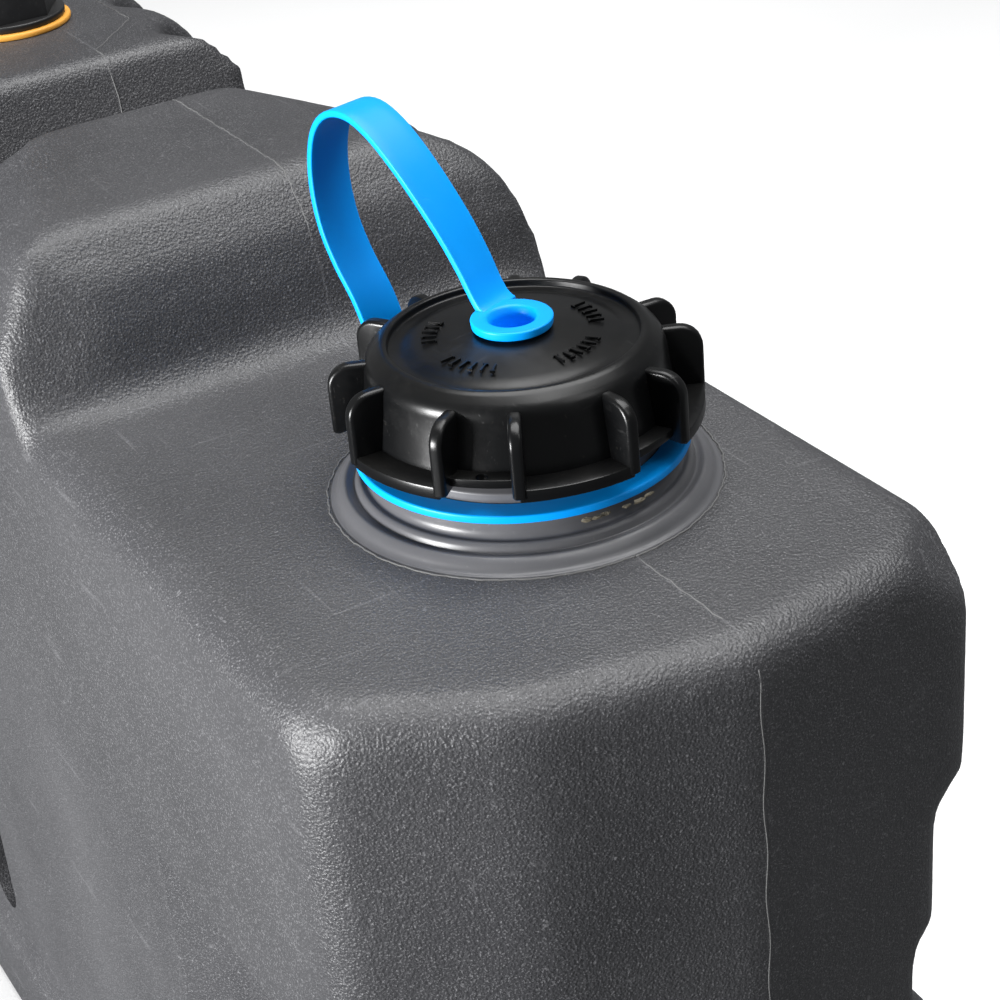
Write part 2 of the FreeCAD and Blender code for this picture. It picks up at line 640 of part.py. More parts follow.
# ------------------------------------------------------------------- tether
def on_strap_plane(shape):
    """Turn a tether piece made along +X to the strap's angle on the neck."""
    shape.rotate(Vector(0, 0, 0), Vector(0, 0, 1), STRAP_ANGLE)
    shape.translate(FILLER_CENTRE)
    return shape


def tether_ring():
    """Loose ring round the neck under the cap, with the strap's root."""
    top = RING_Z + RING_THICKNESS
    ring = cylinder(RING_R, RING_Z, top)
    tab = Part.makeBox(RING_TAB_R - RING_BORE_R, STRAP_WIDTH, RING_THICKNESS,
                       Vector(RING_BORE_R, -STRAP_WIDTH / 2, RING_Z))
    ring = ring.fuse(tab).cut(cylinder(RING_BORE_R, RING_Z - 1, top + 1))
    return on_strap_plane(ring.removeSplitter())


def offset_points(points, distance):
    """Points moved sideways from a route by a distance, square to it."""
    moved = []
    last = len(points) - 1
    for i, (d, z) in enumerate(points):
        before = points[max(i - 1, 0)]
        after = points[min(i + 1, last)]
        if i == 0 or i == last:
            along_d, along_z = (1.0, 0.0) if i == 0 else (-1.0, 0.0)
        else:
            along_d, along_z = after[0] - before[0], after[1] - before[1]
        size = math.hypot(along_d, along_z)
        moved.append(Vector(d - along_z / size * distance, 0, z + along_d / size * distance))
    return moved


def smooth_edge(points):
    curve = Part.BSplineCurve()
    curve.interpolate(points)
    return curve.toShape()


def tether_strap():
    """Flat strap from the ring up over the cap and down to the eyelet."""
    left = offset_points(STRAP_ROUTE, STRAP_THICKNESS / 2)
    right = offset_points(STRAP_ROUTE, -STRAP_THICKNESS / 2)
    edges = [smooth_edge(left), Part.makeLine(left[-1], right[-1]),
             smooth_edge(right), Part.makeLine(right[0], left[0])]
    face = Part.Face(Part.Wire(Part.__sortEdges__(edges)))
    strap = face.extrude(Vector(0, STRAP_WIDTH, 0))
    strap.translate(Vector(0, -STRAP_WIDTH / 2, 0))
    return on_strap_plane(strap)


def tether_eyelet():
    """Eyelet disc with the hollow stud that snaps through the cap."""
    top = EYELET_Z + EYELET_THICKNESS
    under = CAP_UNDERSIDE - 0.4
    stud = revolve([
        (0, STUD_FOOT_Z), (STUD_R - 1.2, STUD_FOOT_Z), (STUD_HEAD_R, under - 2.2),
        (STUD_HEAD_R, under - 0.6), (STUD_R, under), (STUD_R, EYELET_Z), (EYELET_R - 0.6, EYELET_Z),
        (EYELET_R, EYELET_Z + 0.6), (EYELET_R, top - 0.5), (EYELET_R - 0.5, top),
        (STUD_HOLLOW_R + 0.8, top), (STUD_HOLLOW_R, top - 0.8), (STUD_HOLLOW_R, STUD_FOOT_Z + 2.0),
        (0, STUD_FOOT_Z + 2.0),
    ])
    root_end = STRAP_ROUTE[-1][0]
    flat = Part.makeBox(2 * EYELET_R, STRAP_WIDTH + 2, EYELET_THICKNESS + 2,
                        Vector(root_end, -STRAP_WIDTH / 2 - 1, EYELET_Z - 1))
    return on_strap_plane(stud.cut(flat))


# ------------------------------------------------------------------- export
def check_solid(name, shape):
    solids = shape.Solids
    if not shape.isValid() or not solids:
        raise RuntimeError(f"{name} isn't a valid solid")
    print(f"{name:22s} solids {len(solids)}  volume {shape.Volume / 1000:9.2f} cm3")


def build_all():
    """Every node of the tank, by name."""
    nodes = {
        "tank_shell": tank_shell(),
        "filler_neck": filler_neck(),
        "filler_cap": filler_cap(),
        "cap_gasket": cap_gasket(),
        "tether_ring": tether_ring(),
        "tether_strap": tether_strap(),
        "tether_eyelet": tether_eyelet(),
    }
    for name, origin, direction in ports():
        nodes[f"{name}_port_insert"] = along(port_insert(), origin, direction)
        nodes[f"{name}_plug_washer"] = along(port_washer(), origin, direction)
        nodes[f"{name}_plug"] = along(port_plug(), origin, direction)
    return nodes


def main():
    os.makedirs("parts", exist_ok=True)
    for name, shape in build_all().items():
        check_solid(name, shape)
        shape.exportStep(f"parts/{name}.step")


main()
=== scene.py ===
import logging
import math
from collections.abc import Callable, Iterable, Sequence
from dataclasses import dataclass, field
from enum import Enum

import bpy
import numpy as np
from mathutils import Matrix, Vector


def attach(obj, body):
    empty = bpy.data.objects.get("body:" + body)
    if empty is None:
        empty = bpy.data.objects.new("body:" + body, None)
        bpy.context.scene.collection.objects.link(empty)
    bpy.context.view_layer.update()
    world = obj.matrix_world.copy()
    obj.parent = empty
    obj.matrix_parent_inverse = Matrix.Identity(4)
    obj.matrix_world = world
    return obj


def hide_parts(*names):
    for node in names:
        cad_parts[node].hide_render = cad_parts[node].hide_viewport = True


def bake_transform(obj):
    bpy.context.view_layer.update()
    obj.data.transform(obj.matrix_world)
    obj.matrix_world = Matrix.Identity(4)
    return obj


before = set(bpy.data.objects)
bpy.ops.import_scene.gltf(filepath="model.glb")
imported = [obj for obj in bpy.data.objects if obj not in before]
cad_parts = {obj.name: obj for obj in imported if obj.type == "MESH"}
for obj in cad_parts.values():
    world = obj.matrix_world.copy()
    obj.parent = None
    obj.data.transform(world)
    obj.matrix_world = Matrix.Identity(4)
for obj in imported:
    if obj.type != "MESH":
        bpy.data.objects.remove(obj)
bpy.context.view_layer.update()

MM = 0.001
LOG = logging.getLogger("fresh_water_tank")
NECK_FOOT = (0.3848, 0.0143, 0.400)
THREAD_PITCH = 6 * MM

Point2 = tuple[float, float]
Point3 = tuple[float, float, float]
Colour = tuple[float, float, float]
EdgeTest = Callable[[Vector, Vector], bool]


class Body(Enum):
    """The rigid bodies that pieces ride on."""

    TANK = "tank"
    CAP = "cap"
    TETHER = "tether"
    EYELET = "eyelet"


class Slot(Enum):
    """Material slot names handed over with each piece; nothing reads them."""

    TANK_GREY = "tank_grey"
    NECK_GREY = "neck_grey"
    CAP_BLACK = "cap_black"
    TETHER_BLUE = "tether_blue"
    PLUG_BLACK = "plug_black"
    AMBER = "washer_amber"


class Lie(Enum):
    """The plane that a prism's outline is drawn in."""

    PLAN = "xy"
    SECTION = "yz"
    SIDE = "xz"


# ------------------------------------------------------------ modelling hands
def only(obj: bpy.types.Object) -> bpy.types.Object:
    """Select one object and nothing else, and make it active.

    Args:
        obj: the object to work on.

    Returns:
        The same object.
    """
    if bpy.context.object is not None and bpy.context.object.mode != "OBJECT":
        bpy.ops.object.mode_set(mode="OBJECT")
    bpy.ops.object.select_all(action="DESELECT")
    obj.select_set(True)
    bpy.context.view_layer.objects.active = obj
    return obj


def start_clean() -> None:
    """Leave edit mode and select nothing, ready for a new primitive."""
    if bpy.context.object is not None and bpy.context.object.mode != "OBJECT":
        bpy.ops.object.mode_set(mode="OBJECT")
    bpy.ops.object.select_all(action="DESELECT")


def edit_all(obj: bpy.types.Object) -> None:
    """Enter edit mode on an object with all of it selected.

    Args:
        obj: the mesh object to edit.
    """
    only(obj)
    bpy.ops.object.mode_set(mode="EDIT")
    bpy.ops.mesh.select_mode(type="VERT")
    bpy.ops.mesh.select_all(action="SELECT")


def leave_edit() -> None:
    """Go back to object mode."""
    bpy.ops.object.mode_set(mode="OBJECT")


def settle(obj: bpy.types.Object) -> bpy.types.Object:
    """Put an object's place, turn and scale into its mesh.

    Args:
        obj: the object to settle.

    Returns:
        The same object, at the origin.
    """
    only(obj)
    bpy.ops.object.transform_apply(location=True, rotation=True, scale=True)
    return obj


def mend(obj: bpy.types.Object, gap: float = 1e-6) -> bpy.types.Object:
    """Merge doubled vertices and turn all faces outwards.

    Args:
        obj: the mesh object.
        gap: vertices closer than this become one.

    Returns:
        The same object.
    """
    edit_all(obj)
    bpy.ops.mesh.remove_doubles(threshold=gap)
    bpy.ops.mesh.normals_make_consistent(inside=False)
    leave_edit()
    return obj


def apply_modifier(obj: bpy.types.Object, kind: str, **values: object) -> bpy.types.Object:
    """Add a modifier with its values and apply it at once.

    Args:
        obj: the mesh object.
        kind: the modifier's type.
        values: the modifier's settings by name.

    Returns:
        The same object.
    """
    only(obj)
    modifier = obj.modifiers.new("step", kind)
    for name, value in values.items():
        setattr(modifier, name, value)
    bpy.ops.object.modifier_apply(modifier=modifier.name)
    return obj


def soften(obj: bpy.types.Object, width: float, segments: int, degrees: float = 50) -> bpy.types.Object:
    """Round the edges sharper than an angle.

    Args:
        obj: the piece.
        width: how far the round reaches, in millimetres.
        segments: how many flats make the round.
        degrees: the least angle that is rounded.

    Returns:
        The same object.
    """
    return apply_modifier(obj, "BEVEL", width=width * MM, segments=segments, limit_method="ANGLE",
                          angle_limit=math.radians(degrees))


def combine(obj: bpy.types.Object, tool: bpy.types.Object, how: str) -> bpy.types.Object:
    """Join, cut or intersect with another solid, which is used up.

    Args:
        obj: the solid that is kept.
        tool: the solid that is used up.
        how: UNION, DIFFERENCE or INTERSECT.

    Returns:
        The kept solid.
    """
    apply_modifier(obj, "BOOLEAN", operation=how, object=tool, solver="MANIFOLD")
    bpy.data.objects.remove(tool, do_unlink=True)
    return obj


def join(pieces: Sequence[bpy.types.Object], name: str) -> bpy.types.Object:
    """Make several objects one object.

    Args:
        pieces: the objects, of which the first is kept.
        name: the joined object's name.

    Returns:
        The joined object.
    """
    only(pieces[0])
    for piece in pieces[1:]:
        piece.select_set(True)
    bpy.ops.object.join()
    pieces[0].name = name
    return pieces[0]


def twin(obj: bpy.types.Object, name: str) -> bpy.types.Object:
    """Copy an object with a mesh of its own.

    Args:
        obj: the object to copy.
        name: the copy's name.

    Returns:
        The copy.
    """
    only(obj)
    bpy.ops.object.duplicate()
    copy = bpy.context.object
    copy.name = name
    return copy


def smooth_faces(obj: bpy.types.Object, degrees: float = 180.0) -> bpy.types.Object:
    """Shade smooth, with a crease where faces meet at more than an angle.

    Args:
        obj: the mesh object.
        degrees: the least angle that stays a crease.

    Returns:
        The same object.
    """
    only(obj)
    if degrees >= 180.0:
        bpy.ops.object.shade_smooth()
    else:
        bpy.ops.object.shade_smooth_by_angle(angle=math.radians(degrees))
    return obj


def box(name: str, low: Point3, high: Point3) -> bpy.types.Object:
    """A box between two corners.

    Args:
        name: the object's name.
        low: the lowest corner.
        high: the highest corner.

    Returns:
        The box, settled.
    """
    start_clean()
    middle = [(a + b) / 2 for a, b in zip(low, high)]
    size = [b - a for a, b in zip(low, high)]
    bpy.ops.mesh.primitive_cube_add(size=1.0, location=middle, scale=size)
    obj = bpy.context.object
    obj.name = name
    return settle(obj)


def rod(name: str, radius: float, start: Point3, end: Point3, sides: int = 64) -> bpy.types.Object:
    """A round bar from one point to another.

    Args:
        name: the object's name.
        radius: the bar's radius.
        start: the middle of one end.
        end: the middle of the other end.
        sides: how many flats stand for the circle.

    Returns:
        The bar, settled.
    """
    start_clean()
    a, b = Vector(start), Vector(end)
    turn = Vector((0, 0, 1)).rotation_difference(b - a).to_euler()
    bpy.ops.mesh.primitive_cylinder_add(
        vertices=sides, radius=radius, depth=(b - a).length, location=(a + b) / 2, rotation=turn
    )
    obj = bpy.context.object
    obj.name = name
    return settle(obj)


def place_corner(lie: Lie, point: Point2, depth: float) -> Point3:
    """Put an outline's point in space.

    Args:
        lie: the plane the outline is drawn in.
        point: the point in that plane.
        depth: the place along the third axis.

    Returns:
        The point in the row frame.
    """
    if lie is Lie.PLAN:
        return (point[0], point[1], depth)
    if lie is Lie.SECTION:
        return (depth, point[0], point[1])
    return (point[0], depth, point[1])


def prism(name: str, outline: Sequence[Point2], lie: Lie, low: float, high: float) -> bpy.types.Object:
    """An outline drawn out into a solid.

    Args:
        name: the object's name.
        outline: the corners, in order.
        lie: the plane they are drawn in.
        low: where the solid starts along the third axis.
        high: where it ends.

    Returns:
        The solid, at the origin.
    """
    start_clean()
    bpy.ops.mesh.primitive_circle_add(vertices=len(outline), radius=1.0, fill_type="NGON")
    obj = bpy.context.object
    obj.name = name
    for vertex, point in zip(obj.data.vertices, outline):
        vertex.co = place_corner(lie, point, low)
    along = Vector(place_corner(lie, (0.0, 0.0), high - low))
    edit_all(obj)
    bpy.ops.mesh.extrude_region_move(TRANSFORM_OT_translate={"value": along})
    leave_edit()
    return mend(obj)


def slice_off(obj: bpy.types.Object, corners: Sequence[Point3], outwards: Point3) -> bpy.types.Object:
    """Cut away what lies beyond the plane through three corners.

    Args:
        obj: the solid to cut.
        corners: three points of the plane.
        outwards: a direction on the side that is removed.

    Returns:
        The same object.
    """
    a, b, c = (Vector(p) for p in corners)
    normal = (b - a).cross(c - a).normalized()
    if normal.dot(Vector(outwards)) < 0:
        normal = -normal
    edit_all(obj)
    bpy.ops.mesh.bisect(plane_co=a, plane_no=normal, use_fill=True, clear_outer=True, threshold=1e-6)
    leave_edit()
    return obj


def bevel_where(obj: bpy.types.Object, chosen: EdgeTest, width: float, segments: int) -> bpy.types.Object:
    """Round the edges whose two ends pass a test.

    Args:
        obj: the solid.
        chosen: a test of an edge's two end points.
        width: how far the round reaches from the edge.
        segments: how many flats make the round.

    Returns:
        The same object.
    """
    only(obj)
    bpy.ops.object.mode_set(mode="EDIT")
    bpy.ops.mesh.select_mode(type="EDGE")
    bpy.ops.mesh.select_all(action="DESELECT")
    leave_edit()
    points = [v.co.copy() for v in obj.data.vertices]
    for edge in obj.data.edges:
        edge.select = bool(chosen(points[edge.vertices[0]], points[edge.vertices[1]]))
    bpy.ops.object.mode_set(mode="EDIT")
    bpy.ops.mesh.bevel(offset=width, segments=segments, affect="EDGES", clamp_overlap=True)
    leave_edit()
    return mend(obj)


def rounded(corners: Sequence[tuple[float, float, float]], steps: int = 6) -> list[Point2]:
    """An open line through corners, each with its own round.

    Args:
        corners: radius, height and rounding of each corner.
        steps: how many pieces each round is made of.

    Returns:
        The points of the line.
    """
    line: list[Point2] = []
    last = len(corners) - 1
    for i, (x, z, round_by) in enumerate(corners):
        here = Vector((x, z))
        if round_by <= 0 or i in (0, last):
            line.append((x, z))
            continue
        before = (Vector(corners[i - 1][:2]) - here)
        after = (Vector(corners[i + 1][:2]) - here)
        reach = min(round_by, before.length * 0.49, after.length * 0.49)
        a = here + before.normalized() * reach
        b = here + after.normalized() * reach
        for k in range(steps + 1):
            t = k / steps
            p = a * (1 - t) ** 2 + here * 2 * t * (1 - t) + b * t**2
            line.append((p.x, p.y))
    return line


def lathe(name: str, line: Sequence[Point2], closed: bool, steps: int = 160) -> bpy.types.Object:
    """Spin a line of radius and height about the Z axis.

    Args:
        name: the object's name.
        line: the points of the line.
        closed: whether its last point joins its first.
        steps: how many turns of the spin make the circle.

    Returns:
        The turned solid, about the origin's Z axis.
    """
    start_clean()
    bpy.ops.mesh.primitive_plane_add(size=MM)
    obj = bpy.context.object
    obj.name = name
    edit_all(obj)
    bpy.ops.mesh.merge(type="CENTER")
    bpy.ops.transform.translate(value=(line[0][0], 0.0, line[0][1]))
    points = list(line) + ([line[0]] if closed else [])
    for (r0, z0), (r1, z1) in zip(points, points[1:]):
        move = {"value": (r1 - r0, 0.0, z1 - z0)}
        bpy.ops.mesh.extrude_vertices_move(TRANSFORM_OT_translate=move)
    bpy.ops.mesh.select_all(action="SELECT")
    bpy.ops.mesh.remove_doubles(threshold=1e-6)
    bpy.ops.mesh.select_all(action="SELECT")
    bpy.ops.mesh.spin(steps=steps, angle=2 * math.pi, center=(0, 0, 0), axis=(0, 0, 1))
    leave_edit()
    return mend(obj, gap=2e-6)


def helical_ridge(name: str, section: Sequence[Point2], pitch: float, turns: float) -> bpy.types.Object:
    """A screw thread's ridge wound about the Z axis.

    Args:
        name: the object's name.
        section: the ridge's corners as radius and height.
        pitch: the rise of one turn.
        turns: how many turns it has.

    Returns:
        The ridge.
    """
    start_clean()
    bpy.ops.mesh.primitive_circle_add(vertices=len(section), radius=1.0, fill_type="NOTHING")
    obj = bpy.context.object
    obj.name = name
    for vertex, (r, z) in zip(obj.data.vertices, section):
        vertex.co = (r, 0.0, z)
    steps = int(96 * turns)
    apply_modifier(
        obj, "SCREW", angle=2 * math.pi * turns, screw_offset=pitch * turns, iterations=1,
        steps=steps, render_steps=steps, axis="Z",
    )
    edit_all(obj)
    bpy.ops.mesh.select_all(action="DESELECT")
    bpy.ops.mesh.select_non_manifold()
    bpy.ops.mesh.edge_face_add()
    leave_edit()
    return mend(obj)


def move_to(obj: bpy.types.Object, place: Point3, turn: Point3 = (0.0, 0.0, 0.0)) -> bpy.types.Object:
    """Turn an object and take it to its place, then settle it.

    Args:
        obj: the object.
        place: where its origin goes.
        turn: the turn about X, Y and Z in radians.

    Returns:
        The same object.
    """
    obj.location = place
    obj.rotation_euler = turn
    return settle(obj)


def wire_along(name: str, points: Sequence[Point3], radius: float) -> bpy.types.Object:
    """A thin ridge that follows points on a surface.

    Args:
        name: the object's name.
        points: the points it runs through.
        radius: half its thickness.

    Returns:
        The ridge as a mesh.
    """
    start_clean()
    curve = bpy.data.curves.new(name, "CURVE")
    curve.dimensions = "3D"
    curve.bevel_depth = radius
    curve.bevel_resolution = 1
    curve.use_fill_caps = True
    spline = curve.splines.new("POLY")
    spline.points.add(len(points) - 1)
    for knot, point in zip(spline.points, points):
        knot.co = (*point, 1.0)
    obj = bpy.data.objects.new(name, curve)
    bpy.context.scene.collection.objects.link(obj)
    only(obj)
    bpy.ops.object.convert(target="MESH")
    return mend(bpy.context.object)


# ------------------------------------------------------------------ finishes
class Graph:
    """A node tree with short ways to add nodes and join them."""

    def __init__(self, tree: bpy.types.NodeTree) -> None:
        """Take hold of a tree.

        Args:
            tree: the tree to add nodes to.
        """
        self.tree = tree

    def add(self, kind: str, **settings: object) -> bpy.types.Node:
        """Add a node.

        Args:
            kind: the node's type.
            settings: its properties by name.

        Returns:
            The new node.
        """
        node = self.tree.nodes.new(kind)
        for name, value in settings.items():
            setattr(node, name, value)
        return node

    def join(self, source: bpy.types.NodeSocket, target: bpy.types.NodeSocket) -> None:
        """Link an output to an input."""
        self.tree.links.new(source, target)

    def feed(self, value: object, target: bpy.types.NodeSocket) -> None:
        """Set an input, by a link when the value is another node's output.

        Args:
            value: a number, a colour or an output socket.
            target: the input to set.
        """
        if isinstance(value, bpy.types.NodeSocket):
            self.join(value, target)
        else:
            target.default_value = value

    def sum_up(self, operation: str, *values: object, clamp: bool = False) -> bpy.types.NodeSocket:
        """Work out a number from others.

        Args:
            operation: the kind of sum.
            values: numbers or output sockets.
            clamp: whether the answer stays between 0 and 1.

        Returns:
            The answer's socket.
        """
        node = self.add("ShaderNodeMath", operation=operation, use_clamp=clamp)
        for value, target in zip(values, node.inputs):
            self.feed(value, target)
        return node.outputs[0]

    def spread(self, value: bpy.types.NodeSocket, low: float, high: float,
               start: float = 0.0, end: float = 1.0) -> bpy.types.NodeSocket:
        """Stretch a range of a value onto another range, clamped.

        Args:
            value: the socket to read.
            low: the value that gives start.
            high: the value that gives end.
            start: the lowest answer.
            end: the highest answer.

        Returns:
            The answer's socket.
        """
        node = self.add("ShaderNodeMapRange", clamp=True)
        self.join(value, node.inputs["Value"])
        for name, number in (("From Min", low), ("From Max", high), ("To Min", start), ("To Max", end)):
            node.inputs[name].default_value = number
        return node.outputs["Result"]

    def noise(self, where: bpy.types.NodeSocket, scale: object, detail: float = 3.0,
              rough: float = 0.5) -> bpy.types.NodeSocket:
        """A cloudy pattern.

        Args:
            where: the coordinates.
            scale: how many clouds fit in a metre.
            detail: how many layers it has.
            rough: how strong the fine layers are.

        Returns:
            The pattern's socket.
        """
        node = self.add("ShaderNodeTexNoise")
        self.join(where, node.inputs["Vector"])
        self.feed(scale, node.inputs["Scale"])
        node.inputs["Detail"].default_value = detail
        node.inputs["Roughness"].default_value = rough
        return node.outputs["Fac"]

    def blend(self, mask: bpy.types.NodeSocket, under: object, over: object) -> bpy.types.NodeSocket:
        """Lay one colour over another through a mask.

        Args:
            mask: where the upper colour shows.
            under: the lower colour.
            over: the upper colour.

        Returns:
            The mixed colour's socket.
        """
        node = self.add("ShaderNodeMix", data_type="RGBA")
        self.join(mask, node.inputs[0])
        for value, target in ((under, node.inputs[6]), (over, node.inputs[7])):
            self.feed((*value, 1.0) if isinstance(value, tuple) else value, target)
        return node.outputs[2]


class Effect(Enum):
    """The surface effects that several finishes use."""

    GRAIN = "leather_grain"
    WEAR = "handling_wear"
    DUST = "settled_dust"
    LINE = "parting_line"


def open_group(effect: Effect, inputs: Iterable[tuple[str, str, float]],
               outputs: Iterable[str]) -> tuple[Graph, bpy.types.Node, bpy.types.Node]:
    """Start a node group with its sockets.

    Args:
        effect: the effect it makes.
        inputs: name, type and first value of each input.
        outputs: the names of its outputs, all numbers.

    Returns:
        The graph, the group's input node and its output node.
    """
    tree = bpy.data.node_groups.new(effect.value, "ShaderNodeTree")
    for name, kind, value in inputs:
        socket = tree.interface.new_socket(name=name, in_out="INPUT", socket_type=kind)
        if kind == "NodeSocketFloat":
            socket.default_value = value
    for name in outputs:
        tree.interface.new_socket(name=name, in_out="OUTPUT", socket_type="NodeSocketFloat")
    graph = Graph(tree)
    return graph, graph.add("NodeGroupInput"), graph.add("NodeGroupOutput")


def build_grain() -> None:
    """The moulded grain: small pebbles with finer speckle between them, whose sparse tips also give a mask
    of painted glints.
    """
    inputs = (("Where", "NodeSocketVector", 0.0), ("Pebbles", "NodeSocketFloat", 700.0))
    graph, start, end = open_group(Effect.GRAIN, inputs, ("Height", "PaintedGlints", "Cloud"))
    where = start.outputs["Where"]
    pebbles = graph.add("ShaderNodeTexVoronoi", feature="SMOOTH_F1")
    graph.join(where, pebbles.inputs["Vector"])
    graph.join(start.outputs["Pebbles"], pebbles.inputs["Scale"])
    pebbles.inputs["Smoothness"].default_value = 0.6
    fine = graph.noise(where, graph.sum_up("MULTIPLY", start.outputs["Pebbles"], 1.7), 2.0, 0.6)
    height = graph.sum_up("SUBTRACT", graph.sum_up("MULTIPLY", fine, 0.9), pebbles.outputs["Distance"])
    graph.join(height, end.inputs["Height"])
    # painted glints: the sparse tips of the fine speckle, where light dots are painted to stand in for light
    # glinting off the grain
    graph.join(graph.spread(fine, 0.57, 0.66), end.inputs["PaintedGlints"])
    graph.join(graph.noise(where, 9.0, 4.0, 0.55), end.inputs["Cloud"])


def build_wear() -> None:
    """Fine scratches in two directions and rubbed patches."""
    inputs = (("Where", "NodeSocketVector", 0.0), ("Scale", "NodeSocketFloat", 40.0))
    graph, start, end = open_group(Effect.WEAR, inputs, ("Scratches", "Rubbed"))
    lines = []
    for turn, stretch in ((0.5, (1.0, 26.0, 8.0)), (2.1, (22.0, 1.0, 9.0))):
        mapping = graph.add("ShaderNodeMapping")
        mapping.inputs["Rotation"].default_value = (0.2, 0.1, turn)
        mapping.inputs["Scale"].default_value = stretch
        graph.join(start.outputs["Where"], mapping.inputs["Vector"])
        streak = graph.noise(mapping.outputs["Vector"], start.outputs["Scale"], 2.0, 0.7)
        lines.append(graph.spread(streak, 0.66, 0.72))
    patch = graph.noise(start.outputs["Where"], start.outputs["Scale"], 5.0, 0.65)
    rubbed = graph.spread(patch, 0.5, 0.75)
    scratches = graph.sum_up("MULTIPLY", graph.sum_up("MAXIMUM", lines[0], lines[1]),
                             graph.spread(patch, 0.42, 0.6))
    graph.join(scratches, end.inputs["Scratches"])
    graph.join(rubbed, end.inputs["Rubbed"])


def build_dust() -> None:
    """Dust that lies on faces that look up, in specks and in a thin film."""
    inputs = (("Where", "NodeSocketVector", 0.0), ("Specks", "NodeSocketFloat", 900.0))
    graph, start, end = open_group(Effect.DUST, inputs, ("Film", "Specks"))
    facing = graph.add("ShaderNodeNewGeometry")
    split = graph.add("ShaderNodeSeparateXYZ")
    graph.join(facing.outputs["Normal"], split.inputs[0])
    upward = graph.spread(split.outputs["Z"], 0.2, 0.95)
    film = graph.spread(graph.noise(start.outputs["Where"], 60.0, 5.0, 0.6), 0.35, 0.8)
    specks = graph.spread(graph.noise(start.outputs["Where"], start.outputs["Specks"], 1.0, 0.4), 0.74, 0.78)
    graph.join(graph.sum_up("MULTIPLY", upward, film), end.inputs["Film"])
    graph.join(specks, end.inputs["Specks"])


def build_line() -> None:
    """The hairline where the two halves of the mould met."""
    inputs = (("Where", "NodeSocketVector", 0.0), ("Offset", "NodeSocketFloat", 0.0143),
              ("Width", "NodeSocketFloat", 0.0006))
    graph, start, end = open_group(Effect.LINE, inputs, ("Mask",))
    split = graph.add("ShaderNodeSeparateXYZ")
    graph.join(start.outputs["Where"], split.inputs[0])
    sway = graph.spread(graph.noise(start.outputs["Where"], 90.0), 0.0, 1.0, -1.0)
    wander = graph.sum_up("MULTIPLY", sway, 0.0005)
    away = graph.sum_up("ABSOLUTE", graph.sum_up(
        "SUBTRACT", graph.sum_up("ADD", split.outputs["Y"], wander), start.outputs["Offset"]))
    share = graph.sum_up("DIVIDE", away, start.outputs["Width"])
    broken = graph.spread(graph.noise(start.outputs["Where"], 160.0, 3.0, 0.7), 0.36, 0.5)
    line = graph.sum_up("SUBTRACT", 1.0, share, clamp=True)
    graph.join(graph.sum_up("MULTIPLY", line, broken), end.inputs["Mask"])


def effect_node(graph: Graph, effect: Effect, where: bpy.types.NodeSocket,
                **values: float) -> bpy.types.Node:
    """Place an effect's group in a material.

    Args:
        graph: the material's graph.
        effect: the effect to place.
        where: the coordinates it reads.
        values: its other inputs by name.

    Returns:
        The group's node.
    """
    node = graph.add("ShaderNodeGroup")
    node.node_tree = bpy.data.node_groups[effect.value]
    graph.join(where, node.inputs["Where"])
    for name, value in values.items():
        node.inputs[name.capitalize()].default_value = value
    return node


Opened = tuple[bpy.types.Material, Graph, bpy.types.Node, bpy.types.NodeSocket]


def open_material(name: str, roughness: float, metallic: float = 0.0, specular: float = 0.5) -> Opened:
    """Start a material with its shader and its coordinates.

    Args:
        name: the material's name.
        roughness: the shader's roughness.
        metallic: the shader's metallic share.
        specular: the shader's specular level.

    Returns:
        The material, its graph, the shader node and the coordinates' socket.
    """
    material = bpy.data.materials.new(name)
    material.use_nodes = True
    graph = Graph(material.node_tree)
    shader = material.node_tree.nodes["Principled BSDF"]
    shader.inputs["Roughness"].default_value = roughness
    shader.inputs["Metallic"].default_value = metallic
    shader.inputs["Specular IOR Level"].default_value = specular
    where = graph.add("ShaderNodeTexCoord").outputs["Object"]
    return material, graph, shader, where


def tint(graph: Graph, mask: bpy.types.NodeSocket, share: float, under: object,
         over: object) -> bpy.types.NodeSocket:
    """Lay one colour over another by a share of a mask.

    Args:
        graph: the material's graph.
        mask: where the upper colour shows.
        share: how much of it shows there.
        under: the lower colour or its socket.
        over: the upper colour or its socket.

    Returns:
        The blended colour's socket.
    """
    return graph.blend(graph.sum_up("MULTIPLY", mask, share), under, over)


def relief(graph: Graph, shader: bpy.types.Node, height: bpy.types.NodeSocket,
           strength: float, distance: float) -> None:
    """Give a shader a bump from a height.

    Args:
        graph: the material's graph.
        shader: the shader node.
        height: the height's socket.
        strength: how much of the bump shows.
        distance: how deep a height of one is.
    """
    bump = graph.add("ShaderNodeBump")
    bump.inputs["Strength"].default_value = strength
    bump.inputs["Distance"].default_value = distance
    graph.join(height, bump.inputs["Height"])
    graph.join(bump.outputs["Normal"], shader.inputs["Normal"])


